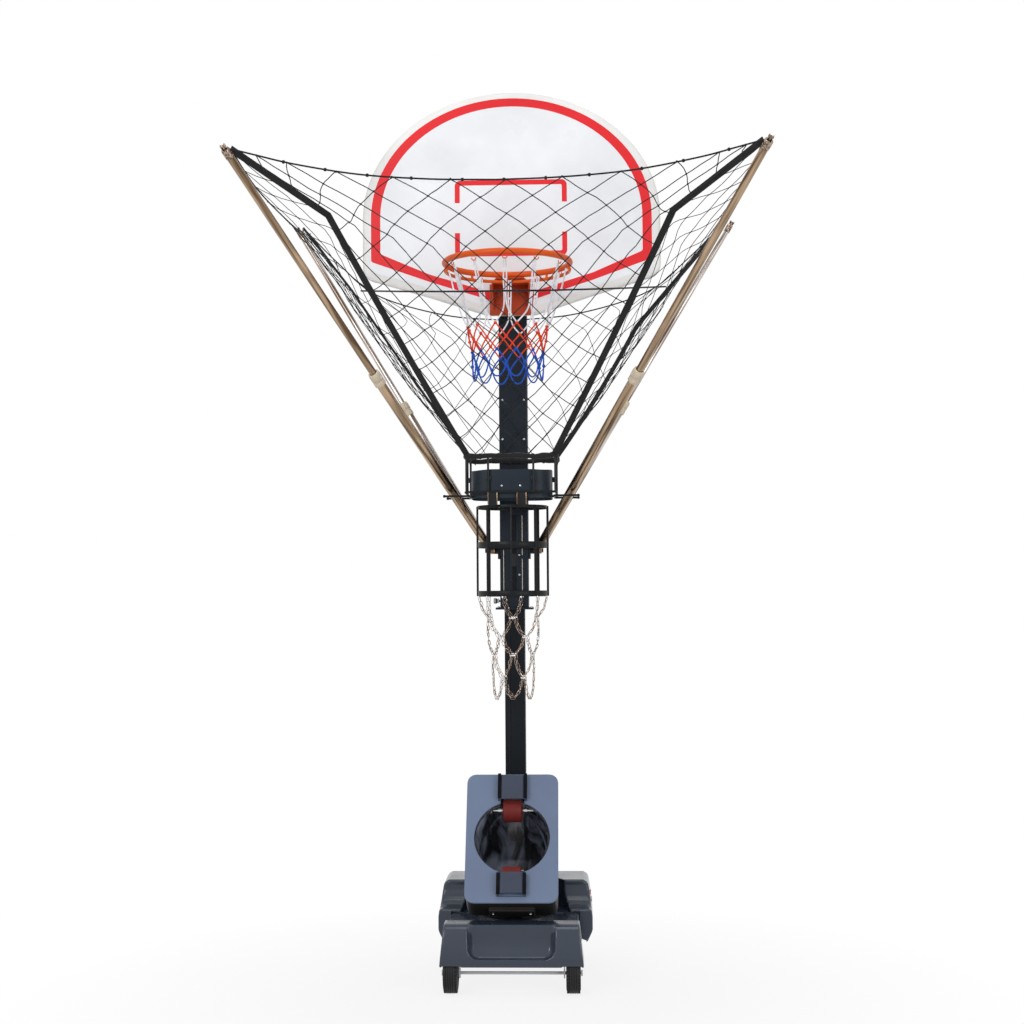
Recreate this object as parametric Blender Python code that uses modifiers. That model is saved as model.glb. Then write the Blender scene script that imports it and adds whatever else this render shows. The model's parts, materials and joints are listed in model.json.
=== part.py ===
"""Basketball shooting machine: wheeled base, ball launcher, hoop on a sliding mast, and catch net.

Metres, +Z up. Every length below is measured from the mast's axis, with -Y towards the player;
the empty "machine_origin" then moves the whole to stand centred on the world's origin.
"""
import math

import bmesh
import bpy
from mathutils import Matrix, Vector

MODEL_NAME = "basketball_shooting_machine"

# Where the mast's axis stands behind the middle of the overall box.
MAST_SETBACK = 0.613

# Clearances
TOUCH_GAP = 0.0003
RUNNING_GAP = 0.0008
SLIDE_GAP = 0.0006

# Base
BASE_CLEARANCE = 0.107
BUMPER_FRONT = 0.600
BUMPER_HALF_WIDTH = 0.268
BUMPER_TOP_HALF_WIDTH = 0.252
BUMPER_TOP = 0.262
BUMPER_DEPTH = 0.150
DECK_TOP = 0.232
DECK_HALF_WIDTH = 0.250
COVER_WALL = 0.005
EAR_TOP = 0.346
EAR_FRONT = 0.105
EAR_HALF_WIDTH = 0.293
EAR_BULGE_HALF_WIDTH = 0.304
BASE_REAR = 0.200
EAR_SCOOP_RADIUS = 0.080
TRAY_THICKNESS = 0.006
TRAY_HALF_WIDTH = 0.205

# Wheels and casters
FRONT_WHEEL_RADIUS = 0.075
FRONT_WHEEL_WIDTH = 0.054
FRONT_WHEEL_SPACING = 0.457
FRONT_WHEEL_SETBACK = -0.520
AXLE_RADIUS = 0.006
CASTER_RADIUS = 0.050
CASTER_WIDTH = 0.030
CASTER_SPACING = 0.480
CASTER_SWIVEL_SETBACK = 0.120
CASTER_TRAIL = 0.030

# Mast
RIM_HEIGHT = 2.740
LOWER_MAST_WIDTH = 0.060
RAIL_WIDTH = 0.021
LOWER_MAST_DEPTH = 0.080
LOWER_MAST_WALL = 0.003
LOWER_MAST_TOP = 1.960
SOCKET_WALL = 0.006
SOCKET_HEIGHT = 0.090
RAIL_HOLE_PITCH = 0.0775
SLEEVE_WIDTH = 0.115
SLEEVE_DEPTH = 0.095
SLEEVE_WALL = 0.004
SLEEVE_BOTTOM = 1.428
SLEEVE_TOP = RIM_HEIGHT + 0.340
SLEEVE_SLOT_WIDTH = 0.018
LINER_HEIGHT = 0.050
FLANGE_WIDTH = 0.152
FLANGE_DEPTH = 0.108
FLANGE_THICKNESS = 0.008

# Launcher head
SWIVEL_SETBACK = -0.190
TURNTABLE_RADIUS = 0.125
TURNTABLE_THICKNESS = 0.012
TILT_AXIS_HEIGHT = 0.268
FACE_BOTTOM = Vector((0.0, -0.580, 0.344))
FACE_TILT = math.radians(29.3)
FACE_HEIGHT = 0.511
FACE_WIDTH = 0.350
FACE_CORNER = 0.034
HEAD_DEPTH = 0.165
HEAD_WALL = 0.004
PANEL_THICKNESS = 0.012
OPENING_RADIUS = 0.143
GUARD_WIDTH = 0.112
GUARD_RISE = 0.024
LAUNCH_WHEEL_RADIUS = 0.045
LAUNCH_WHEEL_WIDTH = 0.070
LAUNCH_AXLE_RADIUS = 0.006
LAUNCH_WHEEL_INSET = 0.040
UPPER_WHEEL_OFFSET = 0.123
LOWER_WHEEL_OFFSET = -0.152
BOWL_RADIUS = 0.130
BOWL_WALL = 0.003
HOPPER_TOP_REAR = 0.560

# Backboard and hoop
BOARD_FRONT = -0.140
BOARD_THICKNESS = 0.035
BOARD_WALL = 0.005
BOARD_HALF_WIDTH = 0.601
BOARD_TOP = RIM_HEIGHT + 0.770
BOARD_SHOULDER = RIM_HEIGHT + 0.260
BOARD_SIDE_BOTTOM = RIM_HEIGHT + 0.045
BOARD_BOTTOM = RIM_HEIGHT - 0.136
BOARD_RIB_HEIGHTS = (RIM_HEIGHT + 0.090, RIM_HEIGHT + 0.350)
BOARD_STILE_LOW = RIM_HEIGHT - 0.060
BOARD_STILE_HIGH = RIM_HEIGHT + 0.310
BOARD_CLAMP_HEIGHTS = (RIM_HEIGHT - 0.005, RIM_HEIGHT + 0.255)
BOARD_FOOT_HALF_WIDTH = 0.096
RIM_RADIUS = 0.237
RIM_TUBE = 0.012
RIM_OFFSET = 0.375
BRACE_DROP = 0.028
BRACE_TUBE = 0.007
RIM_PLATE_WIDTH = 0.174
RIM_PLATE_HEIGHT = 0.127
HOOP_NET_TOP_RADIUS = 0.214
HOOP_NET_BOTTOM_RADIUS = 0.138
HOOP_NET_BOTTOM = RIM_HEIGHT - 0.450
HOOP_NET_LOOPS = 10

# Collector, cage and chain net
COLLECTOR_HALF_WIDTH = 0.177
COLLECTOR_FRONT = -0.335
COLLECTOR_REAR = -0.056
COLLECTOR_BOTTOM = 1.877
COLLECTOR_TOP = COLLECTOR_BOTTOM + 0.143
ROD_RADIUS = 0.005
BAND_TOP = COLLECTOR_TOP - 0.035
BAND_BOTTOM = COLLECTOR_BOTTOM + 0.007
CAGE_RADIUS = 0.1385
CAGE_RING_HEIGHTS = (COLLECTOR_BOTTOM - 0.051, COLLECTOR_BOTTOM - 0.200, COLLECTOR_BOTTOM - 0.392)
CAGE_RING_WIDTHS = (0.012, 0.023, 0.023)
CAGE_BAR_WIDTH = 0.014
CAGE_STRIP = 0.003
CHAIN_NET_BOTTOM = COLLECTOR_BOTTOM - 0.807
CHAIN_NET_BOTTOM_RADIUS = 0.083
CHAIN_NET_LOOPS = 9

# Net poles
PIVOT_HALF_WIDTH = 0.095
PIVOT_HEIGHT = 1.660
FRONT_PIVOT_SETBACK = -0.030
REAR_PIVOT_SETBACK = 0.030
FRONT_TIP = Vector((0.900, -1.415, 2.970))
REAR_TIP = Vector((0.915, 0.150, 3.030))
FRONT_TUBE_RADIUS = 0.018
REAR_TUBE_RADIUS = 0.015
FRONT_COLLAR_AT = 0.985
REAR_COLLAR_AT = 0.690
POLE_WALL = 0.0035
POLE_SIDES = 12
INNER_OVERLAP = 0.140
PIN_RADIUS = 0.006
KNUCKLE_RADIUS = 0.014
KNUCKLE_LENGTH = 0.034
FRONT_PRONG_AT = -0.2925
REAR_PRONG_AT = -0.121
PRONG_REACH = 0.262

# Ball net
NET_CORD = 0.0055
NET_COLUMNS = 4
TIE_CORD_RADIUS = 0.003

LEFT = -1
RIGHT = 1
SIDES = (("left", LEFT), ("right", RIGHT))

# Base pieces
TRAY_LOW = BASE_CLEARANCE + 0.008
TRAY_TOP = TRAY_LOW + TRAY_THICKNESS
WHEEL_INNER_FACE = FRONT_WHEEL_SPACING / 2 - FRONT_WHEEL_WIDTH / 2
WHEEL_PLATE_OUTER = WHEEL_INNER_FACE - 0.004
WHEEL_PLATE_INNER = WHEEL_PLATE_OUTER - 0.005
CASTER_STEM_RADIUS = 0.008
DECK_REAR = -0.185
SCOOP_OUTLINE = [(-0.172, 0.090), (-0.163, -0.045), (-0.145, -0.078), (0.145, -0.078), (0.163, -0.045),
                 (0.172, 0.090)]
SWIVEL_SHAFT_RADIUS = 0.030
COVER_SPLIT = DECK_REAR + 2 * TOUCH_GAP
LAUNCHER_SWEEP = 0.215
SWITCH_PLACE = (-0.050, 0.290)
SWITCH_LENGTH = 0.022
SWITCH_HEIGHT = 0.015
SWITCH_GAP = 0.0015
PORT_PLACE = (-0.050, 0.262)
PORT_RADIUS = 0.008
SWIVEL_SHAFT_FOOT = TRAY_TOP + TOUCH_GAP + 0.060 + TOUCH_GAP

# Mast pieces
MAST_HALF_WIDTH = (LOWER_MAST_WIDTH + RAIL_WIDTH) / 2 + TOUCH_GAP
MAST_FOOT = TRAY_TOP + TOUCH_GAP + 0.008 + TOUCH_GAP
LOCK_PIN_HEIGHT = SLEEVE_BOTTOM + 0.027
LOCK_PIN_RADIUS = 0.005
LOCK_PIN_TRAVEL = 0.0065
RAIL_HOLES_FROM = 1.200
SLOT_BOTTOM = SLEEVE_BOTTOM + 0.060
SLOT_TOP = SLEEVE_BOTTOM + 0.375
UPPER_LINER_AT = SLEEVE_BOTTOM + 0.167

# Launcher pieces
FACE_UP = Vector((0.0, math.sin(FACE_TILT), math.cos(FACE_TILT)))
FACE_OUT = Vector((0.0, -math.cos(FACE_TILT), math.sin(FACE_TILT)))
SHOT_CENTRE = FACE_BOTTOM + FACE_UP * (FACE_HEIGHT / 2)
UPPER_WHEEL_UP = FACE_HEIGHT / 2 + UPPER_WHEEL_OFFSET
LOWER_WHEEL_UP = FACE_HEIGHT / 2 + LOWER_WHEEL_OFFSET
BALL_REST_DROP = (SWIVEL_SETBACK - SHOT_CENTRE.y) / math.cos(FACE_TILT)
BALL_REST = SHOT_CENTRE - FACE_OUT * BALL_REST_DROP
FEED_SPLIT = BALL_REST.z + 0.006
HOPPER_TOP_FRONT = 0.735
HOPPER_CUT_TOP = 0.950
THROAT_FLARE = 0.010
LUG_AT = 0.112
HEAD_PLATE_AT = 0.148
TILT_PIN_RADIUS = 0.006
LAUNCH_AXLES = ((UPPER_WHEEL_UP, LAUNCH_WHEEL_INSET), (LOWER_WHEEL_UP, LAUNCH_WHEEL_INSET - 0.010))
HEAD_DEPTH_TOP = 0.125
MOTOR_RADIUS = 0.0175
MOTOR_FACE = 0.076
UPPER_GUARD_LOW = FACE_HEIGHT - 0.111
LOWER_GUARD_HIGH = 0.112

# Board, collector and net pieces
BOARD_RIB_AT = 0.125
RIM_CENTRE_Y = BOARD_FRONT - RIM_OFFSET
COLLECTOR_MIDDLE = (COLLECTOR_FRONT + COLLECTOR_REAR) / 2
FRONT_POST_AT = 0.088
REST_RADIUS = 0.0045
NET_SEAM = 0.004
NET_LOW_ROWS = 4
NET_HIGH_ROWS = 1
NET_SAG = 0.030
FRONT_KNEE = (0.597, -1.100, 2.803)
REAR_KNEE = (0.654, 0.000, 2.727)

# Planes and finishes
SIDE_PLANE_ACROSS = (0.0, 1.0, 0.0)
SIDE_PLANE_UP = (0.0, 0.0, 1.0)
FINISHES = {
    "black_plastic": ((0.020, 0.021, 0.024), 0.35, 0.0),
    "base_plastic": ((0.030, 0.036, 0.048), 0.28, 0.0),
    "panel_plastic": ((0.215, 0.265, 0.390), 0.38, 0.0),
    "mast_paint": ((0.019, 0.026, 0.038), 0.45, 0.0),
    "frame_paint": ((0.012, 0.013, 0.015), 0.45, 0.0),
    "steel": ((0.55, 0.55, 0.56), 0.35, 1.0),
    "pole_steel": ((0.62, 0.60, 0.57), 0.18, 1.0),
    "collar_plastic": ((0.62, 0.56, 0.46), 0.45, 0.0),
    "tyre_rubber": ((0.016, 0.016, 0.017), 0.75, 0.0),
    "wheel_red": ((0.240, 0.018, 0.014), 0.60, 0.0),
    "switch_red": ((0.600, 0.030, 0.030), 0.35, 0.0),
    "board_white": ((0.880, 0.890, 0.910), 0.30, 0.0),
    "rim_orange": ((0.760, 0.105, 0.012), 0.35, 0.0),
    "net_white": ((0.830, 0.840, 0.870), 0.80, 0.0),
    "net_black": ((0.010, 0.010, 0.011), 0.75, 0.0),
    "chain_nickel": ((0.60, 0.55, 0.48), 0.28, 1.0),
    "motor_metal": ((0.30, 0.30, 0.31), 0.40, 1.0),
    "battery_grey": ((0.100, 0.105, 0.110), 0.50, 0.0),
}


def clear_scene():
    for obj in list(bpy.data.objects):
        bpy.data.objects.remove(obj, do_unlink=True)


clear_scene()
PARTS = bpy.data.collections.new(MODEL_NAME)
CUTTERS = bpy.data.collections.new(MODEL_NAME + "_cutters")
bpy.context.scene.collection.children.link(PARTS)
bpy.context.scene.collection.children.link(CUTTERS)
ORIGIN = bpy.data.objects.new("machine_origin", None)
ORIGIN.location = (0.0, MAST_SETBACK, 0.0)
PARTS.objects.link(ORIGIN)


def material(name, colour, roughness, metallic=0.0):
    """A Principled material for one sub-part."""
    mat = bpy.data.materials.new(name)
    mat.use_nodes = True
    shader = mat.node_tree.nodes["Principled BSDF"]
    shader.inputs["Base Color"].default_value = (*colour, 1.0)
    shader.inputs["Roughness"].default_value = roughness
    shader.inputs["Metallic"].default_value = metallic
    mat.diffuse_color = (*colour, 1.0)
    return mat


def shade(obj, angle=40.0):
    obj.data.shade_smooth()
    obj.data.set_sharp_from_angle(angle=math.radians(angle))


def new_object(name, mesh, collection=None):
    obj = bpy.data.objects.new(name, mesh)
    (collection or PARTS).objects.link(obj)
    obj.parent = ORIGIN
    return obj


def as_cutter(obj):
    """Move a shape to the cutters, where it shows as a wire and is never built."""
    for owner in list(obj.users_collection):
        owner.objects.unlink(obj)
    CUTTERS.objects.link(obj)
    obj.hide_render = True
    obj.display_type = "WIRE"
    return obj


def finish(obj, finish_name, smooth=40.0):
    obj.data.materials.clear()
    obj.data.materials.append(material(obj.name, *FINISHES[finish_name]))
    shade(obj, smooth)
    return obj


def evaluated_copy(obj, name):
    """The object with its modifiers or its curve turned into a plain mesh."""
    bpy.context.view_layer.update()
    graph = bpy.context.evaluated_depsgraph_get()
    mesh = bpy.data.meshes.new_from_object(obj.evaluated_get(graph))
    work = bmesh.new()
    work.from_mesh(mesh)
    bmesh.ops.remove_doubles(work, verts=work.verts, dist=0.00002)
    work.to_mesh(mesh)
    work.free()
    mesh.name = name
    return mesh


def bake(obj):
    """Apply an object's modifiers in place."""
    mesh = evaluated_copy(obj, obj.name)
    obj.modifiers.clear()
    obj.data = mesh
    return obj


def combine(target, others, operation):
    for other in others:
        as_cutter(other)
        step = target.modifiers.new(operation.lower(), "BOOLEAN")
        step.operation = operation
        step.solver = "EXACT"
        step.object = other
    bake(target)
    for other in others:
        bpy.data.objects.remove(other, do_unlink=True)
    return target


def fuse(target, *others):
    return combine(target, others, "UNION")


def cut(target, *others):
    return combine(target, others, "DIFFERENCE")


def round_edges(obj, width, segments=2, angle=35.0):
    step = obj.modifiers.new("rounded", "BEVEL")
    step.width = width
    step.segments = segments
    step.limit_method = "ANGLE"
    step.angle_limit = math.radians(angle)
    return bake(obj)


def box(name, low, high, turn=None):
    """A box between two corners, turned about its centre if asked."""
    low = Vector(low)
    high = Vector(high)
    work = bmesh.new()
    bmesh.ops.create_cube(work, size=1.0)
    bmesh.ops.scale(work, vec=high - low, verts=work.verts)
    mesh = bpy.data.meshes.new(name)
    work.to_mesh(mesh)
    work.free()
    obj = new_object(name, mesh)
    obj.location = (low + high) / 2
    if turn is not None:
        obj.rotation_euler = turn
    return obj


def cylinder(name, start, end, radius, sides=20, end_radius=None):
    """A cylinder or cone from one point to another."""
    start = Vector(start)
    end = Vector(end)
    along = end - start
    work = bmesh.new()
    bmesh.ops.create_cone(
        work, cap_ends=True, segments=sides, radius1=radius,
        radius2=radius if end_radius is None else end_radius, depth=along.length,
    )
    mesh = bpy.data.meshes.new(name)
    work.to_mesh(mesh)
    work.free()
    obj = new_object(name, mesh)
    obj.location = (start + end) / 2
    obj.rotation_mode = "QUATERNION"
    obj.rotation_quaternion = along.to_track_quat("Z", "Y")
    return obj


def ball(name, centre, radius, sides=24):
    work = bmesh.new()
    bmesh.ops.create_uvsphere(work, u_segments=sides, v_segments=sides // 2, radius=radius)
    mesh = bpy.data.meshes.new(name)
    work.to_mesh(mesh)
    work.free()
    obj = new_object(name, mesh)
    obj.location = centre
    return obj


def turned(name, profile, centre, axis, steps=24, closed=False):
    """A profile of (radius, height) points, top to bottom down its outer side, turned about an axis."""
    work = bmesh.new()
    points = [work.verts.new((radius, 0.0, height)) for radius, height in profile]
    pairs = list(zip(points, points[1:]))
    if closed:
        pairs.append((points[-1], points[0]))
    for first, second in pairs:
        work.edges.new((first, second))
    mesh = bpy.data.meshes.new(name)
    work.to_mesh(mesh)
    work.free()
    obj = new_object(name, mesh)
    step = obj.modifiers.new("turned", "SCREW")
    step.axis = "Z"
    step.angle = math.tau
    step.steps = steps
    step.render_steps = steps
    step.use_merge_vertices = True
    step.merge_threshold = 0.00005
    step.use_smooth_shade = True
    obj.location = centre
    obj.rotation_mode = "QUATERNION"
    obj.rotation_quaternion = Vector(axis).to_track_quat("Z", "Y")
    return bake(obj)


def slab(name, outline, thickness, place):
    """A flat outline of (x, y) points with a thickness, laid in the plane that the matrix gives."""
    curve = bpy.data.curves.new(name, "CURVE")
    curve.dimensions = "2D"
    curve.fill_mode = "BOTH"
    curve.extrude = thickness / 2
    spline = curve.splines.new("POLY")
    spline.points.add(len(outline) - 1)
    for point, (x, y) in zip(spline.points, outline):
        point.co = (x, y, 0.0, 1.0)
    spline.use_cyclic_u = True
    drawn = bpy.data.objects.new(name + "_outline", curve)
    PARTS.objects.link(drawn)
    mesh = evaluated_copy(drawn, name)
    bpy.data.objects.remove(drawn, do_unlink=True)
    obj = new_object(name, mesh)
    obj.matrix_local = place
    return obj


def pipe(name, points, radius, cyclic=False, resolution=1):
    """A rod bent along points, as one closed mesh."""
    curve = bpy.data.curves.new(name, "CURVE")
    curve.dimensions = "3D"
    curve.bevel_depth = radius
    curve.bevel_resolution = resolution
    curve.use_fill_caps = not cyclic
    spline = curve.splines.new("POLY")
    spline.points.add(len(points) - 1)
    for point, place in zip(spline.points, points):
        point.co = (*place, 1.0)
    spline.use_cyclic_u = cyclic
    drawn = bpy.data.objects.new(name + "_route", curve)
    PARTS.objects.link(drawn)
    mesh = evaluated_copy(drawn, name)
    bpy.data.objects.remove(drawn, do_unlink=True)
    return new_object(name, mesh)


def facing(centre, across, up):
    """A frame at a place whose local X and Y run across and up, for a slab."""
    across = Vector(across).normalized()
    up = Vector(up).normalized()
    normal = across.cross(up)
    return Matrix.Translation(centre) @ Matrix((across, up, normal)).transposed().to_4x4()


def side_slab(name, outline, x_low, x_high):
    """An outline of (y, z) points carried from one X to another."""
    middle = ((x_low + x_high) / 2, 0.0, 0.0)
    return slab(name, outline, x_high - x_low, facing(middle, SIDE_PLANE_ACROSS, SIDE_PLANE_UP))


def front_slab(name, outline, y_low, y_high):
    """An outline of (x, z) points carried from one Y to another."""
    middle = (0.0, (y_low + y_high) / 2, 0.0)
    return slab(name, outline, y_high - y_low, facing(middle, (1.0, 0.0, 0.0), (0.0, 0.0, 1.0)))


def plan_slab(name, outline, z_low, z_high):
    """An outline of (x, y) points carried from one Z to another."""
    middle = (0.0, 0.0, (z_low + z_high) / 2)
    return slab(name, outline, z_high - z_low, facing(middle, (1.0, 0.0, 0.0), (0.0, 1.0, 0.0)))


def arc(centre, radius, start, end, count):
    """Points along an arc in a plane, angles in degrees; radius may be a pair for an ellipse."""
    across, up = radius if isinstance(radius, tuple) else (radius, radius)
    points = []
    for step in range(count + 1):
        angle = math.radians(start + (end - start) * step / count)
        points.append((centre[0] + across * math.cos(angle), centre[1] + up * math.sin(angle)))
    return points


def rounded_rectangle(half_width, half_height, corner, count=4):
    points = []
    for quarter, (sign_x, sign_y) in enumerate(((1, 1), (-1, 1), (-1, -1), (1, -1))):
        centre = (sign_x * (half_width - corner), sign_y * (half_height - corner))
        points += arc(centre, corner, 90 * quarter, 90 * quarter + 90, count)
    return points


def carried_by(empty, *objects):
    """Hang objects on an empty that stands on their joint's axis, without moving them."""
    for obj in objects:
        obj.parent = empty
        obj.matrix_parent_inverse = Matrix.Translation(-empty.location)


def axis_empty(name, place):
    empty = bpy.data.objects.new(name, None)
    empty.empty_display_size = 0.05
    PARTS.objects.link(empty)
    empty.parent = ORIGIN
    empty.location = place
    return empty


def base_tray():
    """Folded steel tray with the brackets that carry the front axle and the casters."""
    low = TRAY_LOW
    high = TRAY_TOP
    rear = BASE_REAR - 0.030
    front = FRONT_WHEEL_SETBACK - 0.030
    beside_wheel = WHEEL_PLATE_OUTER + 0.001
    lug = CASTER_SPACING / 2 + 0.027
    right = [
        (beside_wheel, front), (beside_wheel, -0.430), (TRAY_HALF_WIDTH, -0.420),
        (TRAY_HALF_WIDTH, CASTER_SWIVEL_SETBACK - 0.046), (lug - 0.006, CASTER_SWIVEL_SETBACK - 0.040),
        (lug, CASTER_SWIVEL_SETBACK - 0.034), (lug, CASTER_SWIVEL_SETBACK + 0.034),
        (lug - 0.006, CASTER_SWIVEL_SETBACK + 0.040), (TRAY_HALF_WIDTH, CASTER_SWIVEL_SETBACK + 0.044),
        (TRAY_HALF_WIDTH, rear),
    ]
    tray = plan_slab("base_tray", right + [(-x, y) for x, y in reversed(right)], low, high)
    joined = []
    for sign in (LEFT, RIGHT):
        edge = sorted((sign * (TRAY_HALF_WIDTH - 0.001), sign * (TRAY_HALF_WIDTH - 0.005)))
        joined.append(box("flange", (edge[0], -0.415, low + 0.002), (edge[1], rear - 0.001, high + 0.030)))
        plate = sorted((sign * WHEEL_PLATE_INNER, sign * WHEEL_PLATE_OUTER))
        ear = arc((FRONT_WHEEL_SETBACK, FRONT_WHEEL_RADIUS), 0.020, 180, 360, 6)
        ear += [(FRONT_WHEEL_SETBACK + 0.028, high - 0.002), (FRONT_WHEEL_SETBACK - 0.028, high - 0.002)]
        joined.append(side_slab("ear", ear, *plate))
    rib_end = TRAY_HALF_WIDTH - 0.003
    for place in (-0.360, -0.120):
        joined.append(box("rib", (-rib_end, place, low + 0.002), (rib_end, place + 0.004, high + 0.018)))
    fuse(tray, *joined)
    bores = []
    for sign in (LEFT, RIGHT):
        axle_end = sign * (WHEEL_PLATE_OUTER + 0.010)
        axle_start = sign * (WHEEL_PLATE_INNER - 0.010)
        bores.append(cylinder("bore", (axle_start, FRONT_WHEEL_SETBACK, FRONT_WHEEL_RADIUS),
                              (axle_end, FRONT_WHEEL_SETBACK, FRONT_WHEEL_RADIUS),
                              AXLE_RADIUS + RUNNING_GAP, 12))
        swivel = (sign * CASTER_SPACING / 2, CASTER_SWIVEL_SETBACK)
        bores.append(cylinder("bore", (*swivel, low - 0.010), (*swivel, high + 0.010),
                              CASTER_STEM_RADIUS + RUNNING_GAP, 12))
    cut(tray, *bores)
    return finish(tray, "steel")


def front_axle():
    reach = FRONT_WHEEL_SPACING / 2 + FRONT_WHEEL_WIDTH / 2 + 0.003
    level = (FRONT_WHEEL_SETBACK, FRONT_WHEEL_RADIUS)
    axle = cylinder("front_axle", (-reach, *level), (reach, *level), AXLE_RADIUS, 16)
    caps = [cylinder("cap", (sign * (reach - 0.002), *level), (sign * (reach + 0.004), *level), 0.011, 16)
            for sign in (LEFT, RIGHT)]
    fuse(axle, *caps)
    return finish(axle, "steel")


def wheel(name, centre, radius, width, shoulder, tread, bore, finish_name, sides=32):
    """A turned wheel on an axle along X, with its lowest side flat on the floor."""
    half = width / 2
    hub = radius * 0.42
    profile = [
        (hub, half), (radius - shoulder, half), (radius, half - tread), (radius, -half + tread),
        (radius - shoulder, -half), (hub, -half), (hub, -half * 0.80), (bore, -half * 0.80),
        (bore, half * 0.80), (hub, half * 0.80),
    ]
    obj = turned(name, profile, centre, (1, 0, 0), sides, closed=True)
    flat_turn = Matrix.Rotation(math.pi / sides, 4, "Z")
    lift = math.cos(math.pi / sides)
    obj.data.transform(flat_turn)
    obj.data.transform(Matrix.Diagonal((1 / lift, 1 / lift, 1.0, 1.0)))
    return finish(obj, finish_name, 30.0)


def front_cover():
    """Moulded bumper with a scooped front and the deck behind it, open underneath."""
    profile = [
        (-BUMPER_FRONT, BASE_CLEARANCE),
        (-BUMPER_FRONT + 0.012, BUMPER_TOP - 0.030),
        *arc((-BUMPER_FRONT + 0.042, BUMPER_TOP - 0.030), 0.030, 180, 90, 4),
        (-BUMPER_FRONT + BUMPER_DEPTH - 0.030, BUMPER_TOP),
        (-BUMPER_FRONT + BUMPER_DEPTH + 0.020, DECK_TOP),
        (DECK_REAR, DECK_TOP),
        (DECK_REAR, BASE_CLEARANCE),
    ]
    cover = side_slab("front_cover", profile, -BUMPER_HALF_WIDTH, BUMPER_HALF_WIDTH)
    bevel_drop = BUMPER_TOP - BASE_CLEARANCE
    slope = math.atan2(BUMPER_HALF_WIDTH - BUMPER_TOP_HALF_WIDTH, bevel_drop)
    trims = []
    for sign in (LEFT, RIGHT):
        plane = box("draft", (-0.05, -0.80, -0.10), (0.05, 0.20, 0.40), turn=(0.0, -sign * slope, 0.0))
        middle = sign * (BUMPER_HALF_WIDTH + BUMPER_TOP_HALF_WIDTH) / 2
        plane.location = (middle + sign * 0.05 * math.cos(slope), -0.30,
                          (BASE_CLEARANCE + BUMPER_TOP) / 2 + 0.05 * math.sin(slope))
        trims.append(plane)
        wing = sorted((sign * DECK_HALF_WIDTH, sign * 0.40))
        trims.append(box("waist", (wing[0], -BUMPER_FRONT + BUMPER_DEPTH + 0.020, 0.0),
                         (wing[1], 0.10, 0.50)))
    cut(cover, *trims)
    round_edges(cover, 0.010, 1)
    hollow_profile = [
        (-BUMPER_FRONT + 0.030, BASE_CLEARANCE - 0.010),
        (-BUMPER_FRONT + 0.040, BUMPER_TOP - COVER_WALL - 0.030),
        (-BUMPER_FRONT + 0.060, BUMPER_TOP - COVER_WALL),
        (-BUMPER_FRONT + BUMPER_DEPTH - 0.032, BUMPER_TOP - COVER_WALL),
        (-BUMPER_FRONT + BUMPER_DEPTH + 0.018, DECK_TOP - COVER_WALL),
        (DECK_REAR + 0.020, DECK_TOP - COVER_WALL),
        (DECK_REAR + 0.020, BASE_CLEARANCE - 0.010),
    ]
    inner = DECK_HALF_WIDTH - 2 * COVER_WALL
    hollow = side_slab("hollow", hollow_profile, -inner, inner)
    cut(cover, hollow)
    scoop = front_slab("scoop", [(x, z + 0.215) for x, z in SCOOP_OUTLINE], -BUMPER_FRONT - 0.050,
                       -BUMPER_FRONT + 0.026)
    round_edges(scoop, 0.020, 2, 60.0)
    well = cylinder("well", (0.0, SWIVEL_SETBACK, DECK_TOP - 0.040),
                    (0.0, SWIVEL_SETBACK, DECK_TOP + 0.010), SWIVEL_SHAFT_RADIUS + 0.004, 24)
    cut(cover, scoop, well, mast_passage())
    for sign in (LEFT, RIGHT):
        pocket = sorted((sign * (WHEEL_PLATE_INNER - 0.006), sign * (DECK_HALF_WIDTH + 0.010)))
        arch = cylinder("arch", (pocket[0], FRONT_WHEEL_SETBACK, FRONT_WHEEL_RADIUS),
                        (pocket[1], FRONT_WHEEL_SETBACK, FRONT_WHEEL_RADIUS),
                        FRONT_WHEEL_RADIUS + 0.012, 24)
        cut(cover, arch)
    return finish(cover, "base_plastic")


def mast_passage():
    """The clear space that the mast socket needs through the covers."""
    half_width = MAST_HALF_WIDTH + SOCKET_WALL + 0.002
    half_depth = LOWER_MAST_DEPTH / 2 + SOCKET_WALL + 0.002
    return box("mast_passage", (-half_width, -half_depth, 0.05), (half_width, half_depth, 0.60))


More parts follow.
